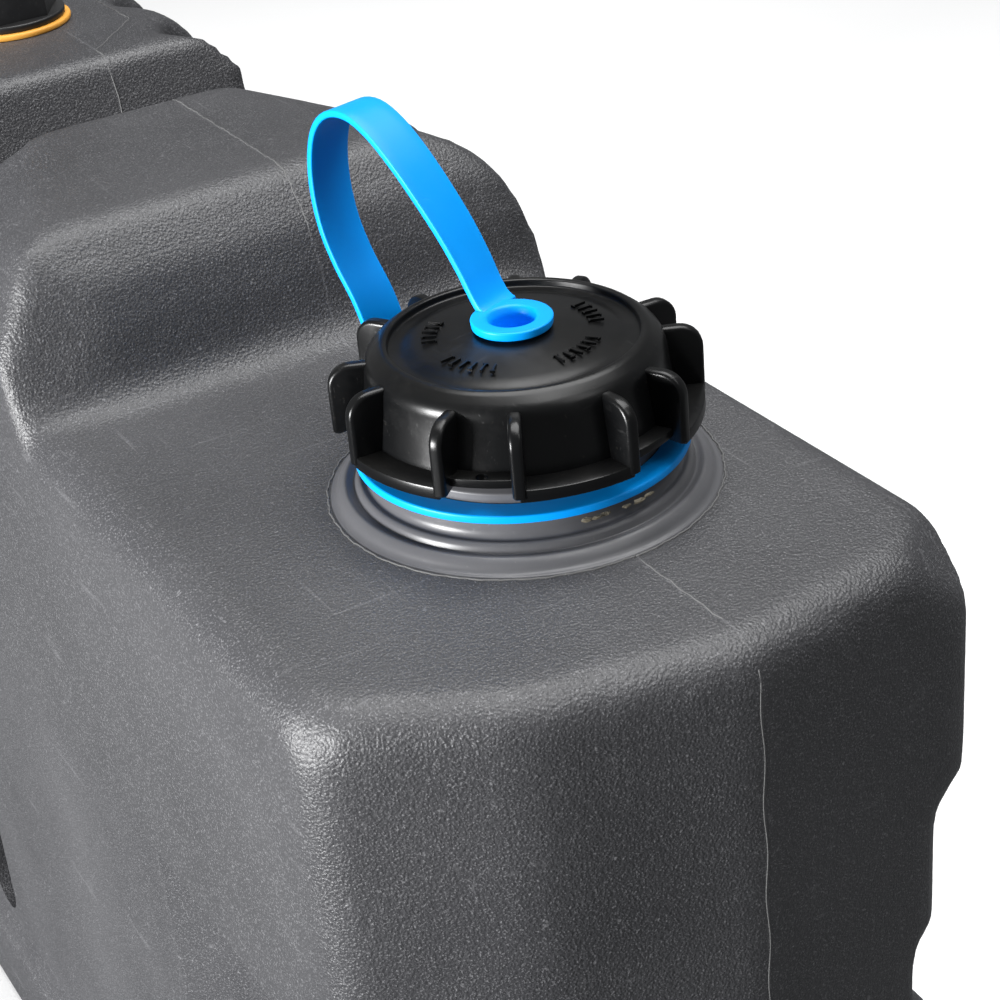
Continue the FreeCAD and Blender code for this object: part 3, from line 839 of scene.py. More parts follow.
@dataclass(frozen=True)
class GrainedPlastic:
    """Moulded polyethylene with a fine leather grain and painted glints on it."""

    name: str
    colour: Colour
    bright: Colour
    roughness: float
    pebbles: float
    depth: float
    parting: float

    def make(self) -> bpy.types.Material:
        """Build the material.

        Returns:
            The material.
        """
        material, graph, shader, where = open_material(self.name, self.roughness, specular=0.5)
        grain = effect_node(graph, Effect.GRAIN, where, pebbles=self.pebbles)
        dust = effect_node(graph, Effect.DUST, where, specks=420.0)
        wear = effect_node(graph, Effect.WEAR, where, scale=18.0)
        line = effect_node(graph, Effect.LINE, where, offset=self.parting, width=0.0007)
        cloud = graph.spread(grain.outputs["Cloud"], 0.3, 0.7, 0.0, 0.12)
        tone = graph.blend(cloud, self.colour, self.bright)
        # painted glints: light dots on the grain, standing in for the sparkle of light off its tips
        tone = tint(graph, grain.outputs["PaintedGlints"], 0.7, tone, self.bright)
        tone = tint(graph, wear.outputs["Scratches"], 0.25, tone, self.bright)
        tone = tint(graph, line.outputs["Mask"], 0.3, tone, self.bright)
        tone = tint(graph, dust.outputs["Specks"], 0.5, tone, self.bright)
        graph.join(tone, shader.inputs["Base Color"])
        uneven = graph.spread(grain.outputs["Cloud"], 0.3, 0.7, -0.05, 0.06)
        rough = graph.sum_up("ADD", uneven, self.roughness)
        graph.join(graph.sum_up("ADD", rough, graph.sum_up("MULTIPLY", dust.outputs["Film"], 0.06)),
                   shader.inputs["Roughness"])
        relief(graph, shader, grain.outputs["Height"], 1.0, self.depth)
        return material


@dataclass(frozen=True)
class SmoothPlastic:
    """Smooth moulded plastic with handling marks, rubbed patches and dust."""

    name: str
    colour: Colour
    worn: Colour
    dusty: Colour
    roughness: float
    wear: float
    dust: float
    ripple: float
    scale: float = 45.0
    specular: float = 0.4

    def make(self) -> bpy.types.Material:
        """Build the material.

        Returns:
            The material.
        """
        material, graph, shader, where = open_material(self.name, self.roughness, specular=self.specular)
        wear = effect_node(graph, Effect.WEAR, where, scale=self.scale)
        dust = effect_node(graph, Effect.DUST, where, specks=700.0)
        tone = tint(graph, wear.outputs["Rubbed"], self.wear * 0.6, self.colour, self.worn)
        tone = tint(graph, wear.outputs["Scratches"], self.wear, tone, self.worn)
        tone = tint(graph, dust.outputs["Film"], self.dust * 0.5, tone, self.dusty)
        tone = tint(graph, dust.outputs["Specks"], self.dust, tone, self.dusty)
        graph.join(tone, shader.inputs["Base Color"])
        rough = graph.sum_up("ADD", graph.sum_up("MULTIPLY", wear.outputs["Rubbed"], 0.12), self.roughness)
        rough = graph.sum_up("ADD", rough, graph.sum_up("MULTIPLY", wear.outputs["Scratches"], 0.2))
        graph.join(rough, shader.inputs["Roughness"])
        orange_peel = graph.noise(where, 260.0, 3.0, 0.5)
        scratches = graph.sum_up("MULTIPLY", wear.outputs["Scratches"], 0.5)
        height = graph.sum_up("SUBTRACT", orange_peel, scratches)
        relief(graph, shader, height, 0.5, self.ripple)
        return material


@dataclass(frozen=True)
class MachinedMetal:
    """Turned metal with tool rings and a little tarnish."""

    name: str
    colour: Colour
    tarnish: Colour
    roughness: float

    def make(self) -> bpy.types.Material:
        """Build the material.

        Returns:
            The material.
        """
        material, graph, shader, where = open_material(self.name, self.roughness, metallic=1.0)
        wear = effect_node(graph, Effect.WEAR, where, scale=30.0)
        rings = graph.noise(where, 900.0, 2.0, 0.5)
        tone = tint(graph, wear.outputs["Rubbed"], 0.6, self.colour, self.tarnish)
        graph.join(tone, shader.inputs["Base Color"])
        rough = graph.sum_up("MULTIPLY", wear.outputs["Rubbed"], 0.15)
        graph.join(graph.sum_up("ADD", rough, self.roughness), shader.inputs["Roughness"])
        relief(graph, shader, rings, 0.3, 0.00005)
        return material


@dataclass(frozen=True)
class Rubber:
    """Soft rubber with a dull bloom."""

    name: str
    colour: Colour
    bloom: Colour
    roughness: float

    def make(self) -> bpy.types.Material:
        """Build the material.

        Returns:
            The material.
        """
        material, graph, shader, where = open_material(self.name, self.roughness, specular=0.35)
        grain = effect_node(graph, Effect.GRAIN, where, pebbles=1500.0)
        cloud = graph.spread(grain.outputs["Cloud"], 0.35, 0.65, 0.0, 0.7)
        tone = graph.blend(cloud, self.colour, self.bloom)
        graph.join(tone, shader.inputs["Base Color"])
        low, high = self.roughness - 0.08, self.roughness + 0.1
        graph.join(graph.spread(grain.outputs["Cloud"], 0.2, 0.8, low, high), shader.inputs["Roughness"])
        relief(graph, shader, grain.outputs["Height"], 0.6, 0.00006)
        return material


@dataclass(frozen=True)
class PaleFloor:
    """Matt white studio floor with a very faint unevenness."""

    name: str = "studio_floor"

    def make(self) -> bpy.types.Material:
        """Build the material.

        Returns:
            The material.
        """
        material, graph, shader, where = open_material(self.name, 0.9, specular=0.1)
        tone = graph.blend(graph.noise(where, 3.0), (0.86, 0.86, 0.86), (0.88, 0.88, 0.88))
        graph.join(tone, shader.inputs["Base Color"])
        return material


class Finishes:
    """Every finish on the tank, made once."""

    def __init__(self) -> None:
        """Build the shared effects and then the materials."""
        for build in (build_grain, build_wear, build_dust, build_line):
            build()
        self.tank = GrainedPlastic("tank_polyethylene", (0.027, 0.0272, 0.03), (0.17, 0.17, 0.178),
                                   0.39, 1050.0, 0.00024, 0.0143).make()
        self.neck = SmoothPlastic("neck_polyethylene", (0.085, 0.0855, 0.092), (0.15, 0.15, 0.155),
                                  (0.18, 0.18, 0.18), 0.33, 0.2, 0.2, 0.00006).make()
        self.flash = SmoothPlastic("moulding_flash", (0.1, 0.1, 0.1), (0.2, 0.2, 0.2),
                                   (0.24, 0.24, 0.24), 0.55, 0.5, 0.4, 0.0002).make()
        self.crumb = SmoothPlastic("torn_flash", (0.12, 0.105, 0.075), (0.3, 0.27, 0.2),
                                   (0.35, 0.32, 0.25), 0.65, 0.7, 0.5, 0.0004, 160.0).make()
        self.cap = SmoothPlastic("cap_plastic", (0.0025, 0.0027, 0.003), (0.02, 0.0195, 0.019),
                                 (0.06, 0.055, 0.045), 0.28, 0.2, 0.12, 0.00005, 45.0, 0.28).make()
        self.tether = SmoothPlastic("tether_plastic", (0.0, 0.3, 0.87), (0.0, 0.32, 0.9),
                                    (0.02, 0.32, 0.85), 0.38, 0.25, 0.05, 0.00005, 45.0, 0.2).make()
        self.plug = SmoothPlastic("plug_plastic", (0.006, 0.006, 0.0065), (0.04, 0.04, 0.04),
                                  (0.07, 0.07, 0.065), 0.42, 0.3, 0.25, 0.00008).make()
        self.washer = Rubber("amber_washer", (0.64, 0.28, 0.035), (0.78, 0.42, 0.09), 0.45).make()
        self.gasket = Rubber("cap_gasket", (0.02, 0.02, 0.02), (0.035, 0.035, 0.035), 0.7).make()
        self.brass = MachinedMetal("insert_brass", (0.72, 0.52, 0.22), (0.42, 0.28, 0.12), 0.3).make()


def dress(obj: bpy.types.Object, material: bpy.types.Material) -> bpy.types.Object:
    """Give an object one material in place of all it has.

    Args:
        obj: the object.
        material: its new material.

    Returns:
        The same object.
    """
    if obj.material_slots:
        for slot in obj.material_slots:
            slot.material = material
    else:
        obj.data.materials.append(material)
    return obj


def hand_over(obj: bpy.types.Object, body: str, slot: Slot, *nodes: str) -> None:
    """Let a finished piece ride on its body in place of CAD nodes.

    Args:
        obj: the finished piece.
        body: the body it rides on.
        slot: not used.
        nodes: the CAD nodes it stands for.
    """
    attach(obj, body)
    if nodes:
        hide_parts(*nodes)
    LOG.info("%s: %d faces on %s", obj.name, len(obj.data.polygons), body)


# ---------------------------------------------------------------- the pieces
@dataclass
class TankBody:
    """The hollow tank: its outer form, softened, with its cavity and bores."""

    finishes: Finishes
    half_length: float = 503.0
    half_thickness: float = 100.0
    shoulder: float = 400.0
    crown: float = 455.0
    parting: float = 14.3
    near_draft: float = 11.0
    far_draft: float = 8.0
    wall_x: float = 255.0
    groove_outer: float = 134.0
    groove_inner: float = 86.0
    groove_floor: float = 415.0
    wall: float = 5.0
    voxel: float = 4.3
    filler_x: float = 384.8
    seat_depth: float = 22.0
    low_port: float = 48.0
    seat_radius: float = 34.0
    port_radius: float = 21.6
    filler_radius: float = 48.0
    near_round: float = 9.0
    far_round: float = 10.0
    shoulder_round: float = 20.0
    base_round: float = 6.0
    slots: tuple[float, ...] = (45.0, -45.0)
    slot_half: float = 15.0
    hump_flutes: tuple[float, ...] = (-53.0, 0.0, 53.0)
    crown_flutes: tuple[float, ...] = (159.0, 212.0)
    skin: bpy.types.Object = field(init=False)

    def build(self) -> None:
        """Build the tank and dress it."""
        form = self.lower_body()
        blocks = [self.crown_block(1), self.crown_block(-1)]
        feet = [self.wall_foot(1), self.wall_foot(-1)]
        form = join([form, *blocks, *feet, self.waist(), self.hump()], "tank_body")
        apply_modifier(form, "REMESH", mode="VOXEL", voxel_size=self.voxel * MM)
        apply_modifier(form, "SMOOTH", factor=0.5, iterations=4)
        self.skin = form
        tools = [self.near_panel_tool(), *(self.slot_tool(x) for x in self.slots)]
        for side in (1, -1):
            tools += [self.end_pocket_tool(side), self.seat_tool(side)]
        for tool in tools:
            form = combine(form, tool, "DIFFERENCE")
        form = combine(form, self.cavity(), "DIFFERENCE")
        form = combine(form, self.bore_tool(), "DIFFERENCE")
        smooth_faces(form, 50.0)
        dress(form, self.finishes.tank)
        hand_over(form, Body.TANK.value, Slot.TANK_GREY, "tank_shell")

    def end_x(self, y: float) -> float:
        """How far the drafted end reaches at a given y, in millimetres."""
        draft = self.near_draft if y < self.parting else self.far_draft
        return self.half_length - abs(y - self.parting) * math.tan(math.radians(draft))

    def lower_body(self) -> bpy.types.Object:
        """The body below the shoulder, with its stepped long sides.

        Returns:
            The solid.
        """
        w = self.half_thickness
        facet = -w + 50.6
        right = [(self.end_x(facet) - 31.0, -w), (self.end_x(facet), facet),
                 (self.half_length, self.parting), (self.end_x(w), w)]
        plan = right + [(-x, y) for x, y in reversed(right)]
        body = prism("lower_body", scaled(plan), Lie.PLAN, 0.0, self.shoulder * MM)
        bevel_where(body, near_upright, self.near_round * MM, 5)
        bevel_where(body, far_upright, self.far_round * MM, 5)
        bevel_where(body, self.at_shoulder, self.shoulder_round * MM, 7)
        for side in (1, -1):
            near = [(side * 441, -w, 400), (side * 470, -w + 17, 400), (side * 459.6, -w, 381)]
            far = [(side * 491, w, 371), (side * 463, w, 400), (side * 491, w - 28, 400)]
            slice_off(body, [scale_point(c) for c in near], (side, -1, 1))
            slice_off(body, [scale_point(c) for c in far], (side, 1, 1))
        bevel_where(body, at_base, self.base_round * MM, 3)
        far_side = [(w, 322), (w - 15, 309), (w - 15, 266), (w - 24, 258), (w - 24, 240), (w - 15, 232),
                    (w - 15, 58), (w, 46)]
        section = [(-w, -1), (-w, 401), (w, 401), *far_side, (w, -1)]
        sides = prism("sides", scaled(section), Lie.SECTION, -0.51, 0.51)
        return combine(body, sides, "INTERSECT")

    def at_shoulder(self, a: Vector, b: Vector) -> bool:
        """Whether an edge lies on the shoulder."""
        return min(a.z, b.z) > (self.shoulder - 0.1) * MM

    def near_panel_tool(self) -> bpy.types.Object:
        """The near side's panel, set in below the shoulder band.

        Returns:
            The solid to cut away.
        """
        w = -self.half_thickness
        outline = [(w - 2, 44), (w - 0.1, 44), (w + 3, 50), (w + 6, 58), (w + 6, 266.5), (w + 5, 268.5),
                   (w - 0.1, 271), (w - 2, 271)]
        return prism("near_panel", scaled(outline), Lie.SECTION, -0.51, 0.51)

    def slot_tool(self, x: float) -> bpy.types.Object:
        """One upright slot in the near panel, round at its foot.

        Args:
            x: the slot's place along the tank, in millimetres.

        Returns:
            The solid to cut away.
        """
        half = self.slot_half
        angles = np.linspace(math.pi, 2 * math.pi, 17)
        foot = [(x + half * math.cos(a), 77 + half * math.sin(a)) for a in angles]
        outline = foot + [(x + half, 258), (x - half, 258)]
        return prism("slot", scaled(outline), Lie.SIDE, -0.102, -0.085)

    def end_pocket_tool(self, side: int) -> bpy.types.Object:
        """The lowered stretch of the near panel beside one end.

        Args:
            side: 1 at the filler end, -1 at the other.

        Returns:
            The solid to cut away.
        """
        w = -self.half_thickness
        outline = [(side * 300, w - 2), (side * 300, w + 5.9), (side * 332, w + 19), (side * 510, w + 19),
                   (side * 510, w - 2)]
        return prism("end_pocket", scaled(outline), Lie.PLAN, 58 * MM, 266 * MM)

    def seat_tool(self, side: int) -> bpy.types.Object:
        """The round recess that a low port sits in.

        Args:
            side: 1 at the filler end, -1 at the other.

        Returns:
            The solid to cut away.
        """
        start = ((self.half_length - self.seat_depth) * side * MM, self.parting * MM, self.low_port * MM)
        return rod("seat", self.seat_radius * MM, start, (side * 0.52, start[1], start[2]))

    def crown_block(self, side: int) -> bpy.types.Object:
        """One raised block between the shoulder wall and a strap groove.

        Args:
            side: 1 towards the filler, -1 towards the other end.

        Returns:
            The solid.
        """
        w, top = self.half_thickness, self.crown
        outline = [(-w, 358), (-w, 420), (-80, top), (62, top), (77, 450), (88, 441), (95, 428),
                   (w, 410), (w, 358)]
        block = prism("crown_block", scaled(outline), Lie.SECTION, self.groove_outer * MM, 0.265)
        foot, head = self.wall_x + 4, self.wall_x - 14
        low, high = (foot - 1, -76, 408), (foot - 11, -99, 421)
        cuts = [
            ([(foot, 0, 400), (foot - 6, 0, 430), (foot - 6, 50, 430)], (1, 0, 0)),
            ([(foot - 4, 0, 422), (foot - 14, 0, 447), (foot - 14, 50, 447)], (1, 0, 0)),
            ([(foot - 10, 0, 438), (foot - 25, 0, top), (foot - 25, 50, top)], (1, 0, 1)),
            ([(head, -80, top), low, high], (1, -1, 0)),
            ([low, high, (foot, -100, 392)], (1, 0, 1)),
            ([(134, -45, 451), (250, -80, top), (134, -88, 432)], (-1, -1, 1)),
            ([(134, 42, 451), (250, 77, top), (134, 85, 432)], (-1, 1, 1)),
        ]
        for corners, outwards in cuts:
            slice_off(block, [scale_point(c) for c in corners], outwards)
        for x in self.crown_flutes:
            flute = rod("flute", 19 * MM, (x * MM, 87 * MM, 0.415), (x * MM, 87 * MM, 0.47))
            combine(block, flute, "DIFFERENCE")
        if side < 0:
            block.scale = (-1, 1, 1)
            mend(settle(block))
        return block

    def wall_foot(self, side: int) -> bpy.types.Object:
        """The hollow round where a crown block's wall meets the shoulder.

        Args:
            side: 1 towards the filler, -1 towards the other end.

        Returns:
            The solid.
        """
        curve = [(0, 398), (10, 398), (6, 402), (3, 406), (1, 411), (0, 416)]
        outline = [(side * (self.wall_x + 1 + x), z) for x, z in curve]
        return prism("wall_foot", scaled(outline), Lie.SIDE, -72 * MM, 84 * MM)

    def waist(self) -> bpy.types.Object:
        """The low floor under the strap grooves.

        Returns:
            The solid.
        """
        w, floor = self.half_thickness, self.groove_floor
        outline = [(-w, 358), (-w, floor - 15), (-w + 14, floor), (w - 14, floor), (w, floor - 15), (w, 358)]
        return prism("waist", scaled(outline), Lie.SECTION, -0.145, 0.145)

    def hump(self) -> bpy.types.Object:
        """The middle hump that carries the top port, fluted on its far side.

        Returns:
            The solid.
        """
        half, top, floor = self.groove_inner, self.crown, self.groove_floor
        lean = half - 13
        outline = [(-half, 386), (-half, floor), (-lean, top), (lean, top), (half, floor), (half, 386)]
        block = prism("hump", scaled(outline), Lie.SIDE, -67 * MM, 69 * MM)
        for side, wide in ((1, 2), (-1, 0)):
            for a, b in (((49 + wide, top), (59 + wide, 450)), ((59 + wide, 450), (67 + wide, 440))):
                corners = [(0, side * a[0], a[1]), (50, side * a[0], a[1]), (0, side * b[0], b[1])]
                slice_off(block, [scale_point(c) for c in corners], (0, side, 1))
        for x in self.hump_flutes:
            flute = rod("flute", 16 * MM, (x * MM, 63 * MM, floor * MM), (x * MM, 63 * MM, 0.47), 48)
            combine(block, flute, "DIFFERENCE")
        return block

    def cavity(self) -> bpy.types.Object:
        """The water space inside, a plainer form than the outside.

        Returns:
            The solid to cut away.
        """
        t = self.wall
        x, w = self.half_length - 24 - t, self.half_thickness - 24 - t
        lower = box("cavity", scale_point((-x, -w + 4, t)), scale_point((x, w, self.shoulder - t - 4)))
        top = self.groove_floor - 10
        upper = box("cavity_top", scale_point((-245, -40, 300)), scale_point((245, 40, top)))
        bevel_where(lower, any_edge, 8 * MM, 2)
        return combine(lower, upper, "UNION")

    def bore_tool(self) -> bpy.types.Object:
        """The four ways into the tank: filler hole and three ports.

        Returns:
            The solid to cut away.
        """
        y = self.parting * MM
        x = self.filler_x * MM
        tool = rod("bore", self.filler_radius * MM, (x, y, 0.36), (x, y, 0.42), 96)
        top = rod("top_bore", self.port_radius * MM, (0, 0, 0.38), (0, 0, 0.47), 96)
        for piece in (top, *(self.low_bore(side) for side in (1, -1))):
            tool = combine(tool, piece, "UNION")
        return tool

    def low_bore(self, side: int) -> bpy.types.Object:
        """The way in behind one low port.

        Args:
            side: 1 at the filler end, -1 at the other.

        Returns:
            The solid to cut away.
        """
        place = (self.parting * MM, self.low_port * MM)
        return rod("low_bore", self.port_radius * MM, (side * 0.44, *place), (side * 0.49, *place), 96)


def is_upright(a: Vector, b: Vector) -> bool:
    """Whether an edge stands straight up."""
    return abs(a.x - b.x) + abs(a.y - b.y) < 1e-5


def near_upright(a: Vector, b: Vector) -> bool:
    """Whether an edge stands straight up on the near side."""
    return is_upright(a, b) and a.y < 0.0


def far_upright(a: Vector, b: Vector) -> bool:
    """Whether an edge stands straight up on the far side."""
    return is_upright(a, b) and a.y > 0.05


def at_base(a: Vector, b: Vector) -> bool:
    """Whether an edge lies on the base."""
    return max(a.z, b.z) < 0.1 * MM


def any_edge(a: Vector, b: Vector) -> bool:
    """Every edge passes."""
    return True


def scaled(points: Sequence[Point2]) -> list[Point2]:
    """Points in millimetres as metres."""
    return [(x * MM, y * MM) for x, y in points]


def scale_point(point: Point3) -> Point3:
    """A point in millimetres as metres."""
    return (point[0] * MM, point[1] * MM, point[2] * MM)


@dataclass
class PartingFlash:
    """The thin ridge left where the halves of the mould met."""

    finishes: Finishes
    tank: TankBody
    ridge: float = 0.2

    def build(self) -> None:
        """Lay the ridge over the tank and dress it."""
        pieces = [wire_along("ridge", line, self.ridge * MM) for line in self.lines()]
        flash = join(pieces, "parting_flash")
        smooth_faces(flash)
        dress(flash, self.finishes.flash)
        hand_over(flash, Body.TANK.value, Slot.TANK_GREY)

    def lines(self) -> list[list[Point3]]:
        """Where the ridge runs: over both ends, over the crown and round the hump.

        Returns:
            The lines, each as points on the tank's surface.
        """
        y = self.tank.parting * MM
        found = []
        for side, first in ((1, 446), (-1, 262)):
            along_top = [self.drop(side * x * MM, y) for x in np.arange(first, 488, 3.0)]
            down_end = [self.push(side, y, z * MM) for z in np.arange(392, 86, -4.0)]
            found.append([p for p in along_top + down_end if p is not None])
        path = [(-250, 14.3), (-62, 14.3), (-32, 41), (32, 41), (62, 14.3), (250, 14.3)]
        crown = [self.drop(x * MM, across * MM) for x, across in dense(path)]
        found.append([p for p in crown if p is not None])
        return found

    def drop(self, x: float, y: float) -> Point3 | None:
        """The surface under a point.

        Args:
            x: the place along the tank.
            y: the place across it.

        Returns:
            The point on the surface, or None.
        """
        hit, place, _, _ = self.tank.skin.ray_cast((x, y, 0.6), (0, 0, -1))
        return self.nudged(place) if hit else None

    def push(self, side: int, y: float, z: float) -> Point3 | None:
        """The surface of an end at a height.

        Args:
            side: 1 at the filler end, -1 at the other.
            y: the place across the tank.
            z: the height.

        Returns:
            The point on the surface, or None.
        """
        hit, place, _, _ = self.tank.skin.ray_cast((side * 0.6, y, z), (-side, 0, 0))
        return self.nudged(place) if hit else None

    def nudged(self, place: Vector) -> Point3:
        """A point with a small unevenness, as torn flash has."""
        sway = math.sin(place.x * 910.0) * math.sin(place.z * 1370.0 + place.x * 430.0)
        return (place.x, place.y + 0.0005 * sway, place.z)


def dense(points: Sequence[Point2], step: float = 2.0) -> list[Point2]:
    """Points added along straight runs.

    Args:
        points: the corners of the line.
        step: the distance between points.

    Returns:
        The corners with points between them.
    """
    line: list[Point2] = []
    for (x0, y0), (x1, y1) in zip(points, points[1:]):
        count = max(1, int(math.hypot(x1 - x0, y1 - y0) / step))
        line += [(x0 + (x1 - x0) * k / count, y0 + (y1 - y0) * k / count) for k in range(count)]
    return line + [points[-1]]


@dataclass
class FillerNeck:
    """The smooth neck set into the shoulder, with its thread and torn flash."""

    finishes: Finishes
    centre: Point3 = NECK_FOOT

    def build(self) -> None:
        """Build the neck and its flash, and dress them."""
        foot = [(35.5, -5.0, 0), (57.5, -5.0, 0), (59.2, 0.1, 1.2), (57.2, 0.8, 2.0)]
        beads = [
            (55.8, 3.0, 1.6), (53.8, 4.4, 2.0), (52.2, 3.5, 1.2), (51.2, 3.3, 1.0), (50.4, 5.4, 0.9),
            (49.3, 6.2, 0.9), (47.6, 5.7, 1.0), (46.5, 7.4, 1.2), (46.5, 12.0, 0.8),
        ]
        spout = [
            (42.4, 12.0, 0.4), (42.4, 17.6, 0.6), (39.8, 18.4, 0.4), (39.8, 40.9, 0.9), (35.5, 40.9, 0.9),
        ]
        line = scaled(rounded(foot + beads + spout, 5))
        neck = lathe("filler_neck_moulding", line, closed=True, steps=192)
        section = scaled([(39.5, 20.0), (42.0, 20.75), (42.0, 22.25), (39.5, 23.0)])
        thread = helical_ridge("neck_thread", section, THREAD_PITCH, 1.75)
        neck = move_to(join([neck, thread], "filler_neck_moulding"), self.centre)
        smooth_faces(neck, 42.0)
        dress(neck, self.finishes.neck)
        hand_over(neck, Body.TANK.value, Slot.NECK_GREY, "filler_neck")
        self.flash_ring()
        self.crumbs()

    def flash_ring(self) -> None:
        """The rough bright line round the foot of the neck."""
        x, y, z = self.centre
        points = []
        for a in np.linspace(0, 2 * math.pi, 361):
            rough = 0.35 * math.sin(23 * a) + 0.3 * math.sin(57 * a + 1.0) + 0.2 * math.sin(131 * a)
            r = (59.5 + 0.5 * rough) * MM
            points.append((x + r * math.cos(a), y + r * math.sin(a), z + (0.1 + 0.1 * rough) * MM))
        ring = wire_along("neck_flash_ring", points, 0.3 * MM)
        smooth_faces(ring)
        dress(ring, self.finishes.flash)
        hand_over(ring, Body.TANK.value, Slot.NECK_GREY)

    def crumbs(self) -> None:
        """A few torn flakes left on the neck's collar under the ring."""
        places = [(-10, 50.2, 4.4), (-7, 50.4, 4.0), (-3.5, 50.0, 3.4), (4.5, 50.2, 3.2), (9.5, 50.4, 4.2),
                  (14.5, 50.0, 3.6)]
        x, y, z = self.centre
        flakes = []
        for i, (degrees, radius, size) in enumerate(places):
            start_clean()
            bpy.ops.mesh.primitive_ico_sphere_add(subdivisions=2, radius=size * MM * 0.5)
            flake = bpy.context.object
            edit_all(flake)
            bpy.ops.transform.vertex_random(offset=0.22 * size * MM, seed=i + 3)
            leave_edit()
            flake.scale = (0.35, 1.0, 0.3)
            a = math.radians(degrees)
            place = (x + radius * MM * math.cos(a), y + radius * MM * math.sin(a), z + 10.6 * MM)
            flakes.append(move_to(flake, place, (0.0, 0.25, a)))
        torn = join(flakes, "torn_flash")
        dress(torn, self.finishes.crumb)
        hand_over(torn, Body.TANK.value, Slot.NECK_GREY)


@dataclass
class ScrewCap:
    """The wide black screw cap with its grip wings and ledge."""

    finishes: Finishes
    centre: Point3 = NECK_FOOT
    pairs: int = 6
    first_pair: float = 17.0
    spread: float = 12.0
    rim: float = 47.8
    ledge: float = 23.8
    inner: float = 42.55

    def build(self) -> None:
        """Build the cap and dress it."""
        cap = lathe("screw_cap", self.line(), closed=True, steps=192)
        pieces = [cap]
        for pair in range(self.pairs):
            middle = self.first_pair + pair * 360.0 / self.pairs
            pieces += [self.wing(middle + side * self.spread) for side in (-1, 1)]
            pieces.append(self.ledge_part(middle, self.spread, 51.4, (24.4, 27.0), pair == 5))
            pieces.append(self.ledge_part(middle + 30.0, 30.0 - self.spread, 54.6, (21.4, 25.2), False))
        pieces += self.marks()
        pieces.append(self.thread())
        cap = move_to(join(pieces, "screw_cap"), self.centre)
        smooth_faces(cap, 38.0)
        dress(cap, self.finishes.cap)
        hand_over(cap, Body.CAP.value, Slot.CAP_BLACK, "filler_cap")

    def line(self) -> list[Point2]:
        """The cap's section: crown, rim, rounded shoulder and skirt.

        Returns:
            The points as radius and height.
        """
        rim, foot = self.rim, self.ledge - 2.0
        skirt = [(7.7, 43.6, 0), (self.inner, 43.6, 0.6), (self.inner, foot, 0.3), (46.7, foot, 0.3)]
        side = [(46.5, self.ledge + 0.6, 0.8), (44.5, rim - 10.0, 5.0), (44.0, rim - 4.0, 5.5)]
        lip = [(39.6, rim - 0.5, 3.0), (38.4, rim, 0.7), (37.0, rim - 0.2, 0.5), (36.6, rim - 2.2, 0.7)]
        dish = [(33.0, rim - 2.2, 1.2), (30.4, rim - 1.4, 1.2), (28.6, rim - 1.0, 1.0), (14.0, 49.0, 2.0)]
        corners = skirt + side + lip + dish + [(7.7, 49.3, 0)]
        return scaled(rounded(corners, 6))

    def wing(self, degrees: float) -> bpy.types.Object:
        """One grip wing with a round top corner and soft edges.

        Args:
            degrees: its place round the cap.

        Returns:
            The wing.
        """
        outer, top, foot = 55.2, 43.9, 21.8
        turns = np.linspace(0, math.pi / 2, 9)
        corner = [(outer - 7 + 7 * math.sin(a), top - 7 + 7 * math.cos(a)) for a in turns]
        root = [(43.0, foot + 2.4), (43.0, top - 2.0), (42.4, top)]
        outline = root + corner + [(outer, foot + 1.0), (outer - 1.0, foot)]
        blade = prism("wing", scaled(outline), Lie.SIDE, -2.0 * MM, 2.0 * MM)
        soften(blade, 1.25, 4)
        return move_to(blade, (0, 0, 0), (0, 0, math.radians(degrees)))

    def ledge_part(self, middle: float, half: float, radius: float, heights: Point2,
                   holed: bool) -> bpy.types.Object:
        """A stretch of the ledge round the skirt, with its lip.

        Args:
            middle: the stretch's middle angle in degrees.
            half: half of the angle that it spans.
            radius: its outer radius in millimetres.
            heights: the height of its lip's foot and of its top.
            holed: whether it has the hole for a seal wire.

        Returns:
            The stretch.
        """
        lip, top = heights
        foot = top - 2.0
        lip_in = radius - 1.8
        section = [(45.6, foot), (lip_in, foot), (lip_in, lip), (radius, lip), (radius, top), (45.6, top)]
        start_clean()
        bpy.ops.mesh.primitive_circle_add(vertices=len(section), radius=1.0, fill_type="NGON")
        part = bpy.context.object
        start = math.radians(middle - half)
        for vertex, (r, z) in zip(part.data.vertices, section):
            vertex.co = (r * MM * math.cos(start), r * MM * math.sin(start), z * MM)
        edit_all(part)
        steps = max(4, int(half * 2 / 1.5))
        bpy.ops.mesh.spin(steps=steps, angle=-math.radians(2 * half), center=(0, 0, 0), axis=(0, 0, 1))
        leave_edit()
        mend(part)
        soften(part, 0.45, 2)
        if holed:
            a = math.radians(middle)
            x, y = 49.3 * MM * math.cos(a), 49.3 * MM * math.sin(a)
            combine(part, rod("wire_hole", 1.8 * MM, (x, y, 10 * MM), (x, y, 30 * MM), 32), "DIFFERENCE")
        return part

    def marks(self) -> list[bpy.types.Object]:
        """Low raised strokes round the crown, in groups, with no meaning.

        Returns:
            The strokes.
        """
        strokes = []
        foot_z, inner = 47.6 * MM, 22.2 * MM
        for middle, count in ((-128, 5), (-62, 6), (20, 6), (82, 5)):
            for k in range(count):
                turn = (0, 0, math.radians(middle + (k - (count - 1) / 2) * 7.4))
                bar = box("stroke", (inner, -0.25 * MM, foot_z), ((22.2 + 4.6) * MM, 0.25 * MM, 48.45 * MM))
                strokes.append(move_to(bar, (0, 0, 0), turn))
                foot = box("stroke", (inner, -0.8 * MM, foot_z), (22.65 * MM, 0.8 * MM, 48.43 * MM))
                if k % 2:
                    foot.location = (4.0 * MM, 0, 0)
                    settle(foot)
                strokes.append(move_to(foot, (0, 0, 0), turn))
        return strokes

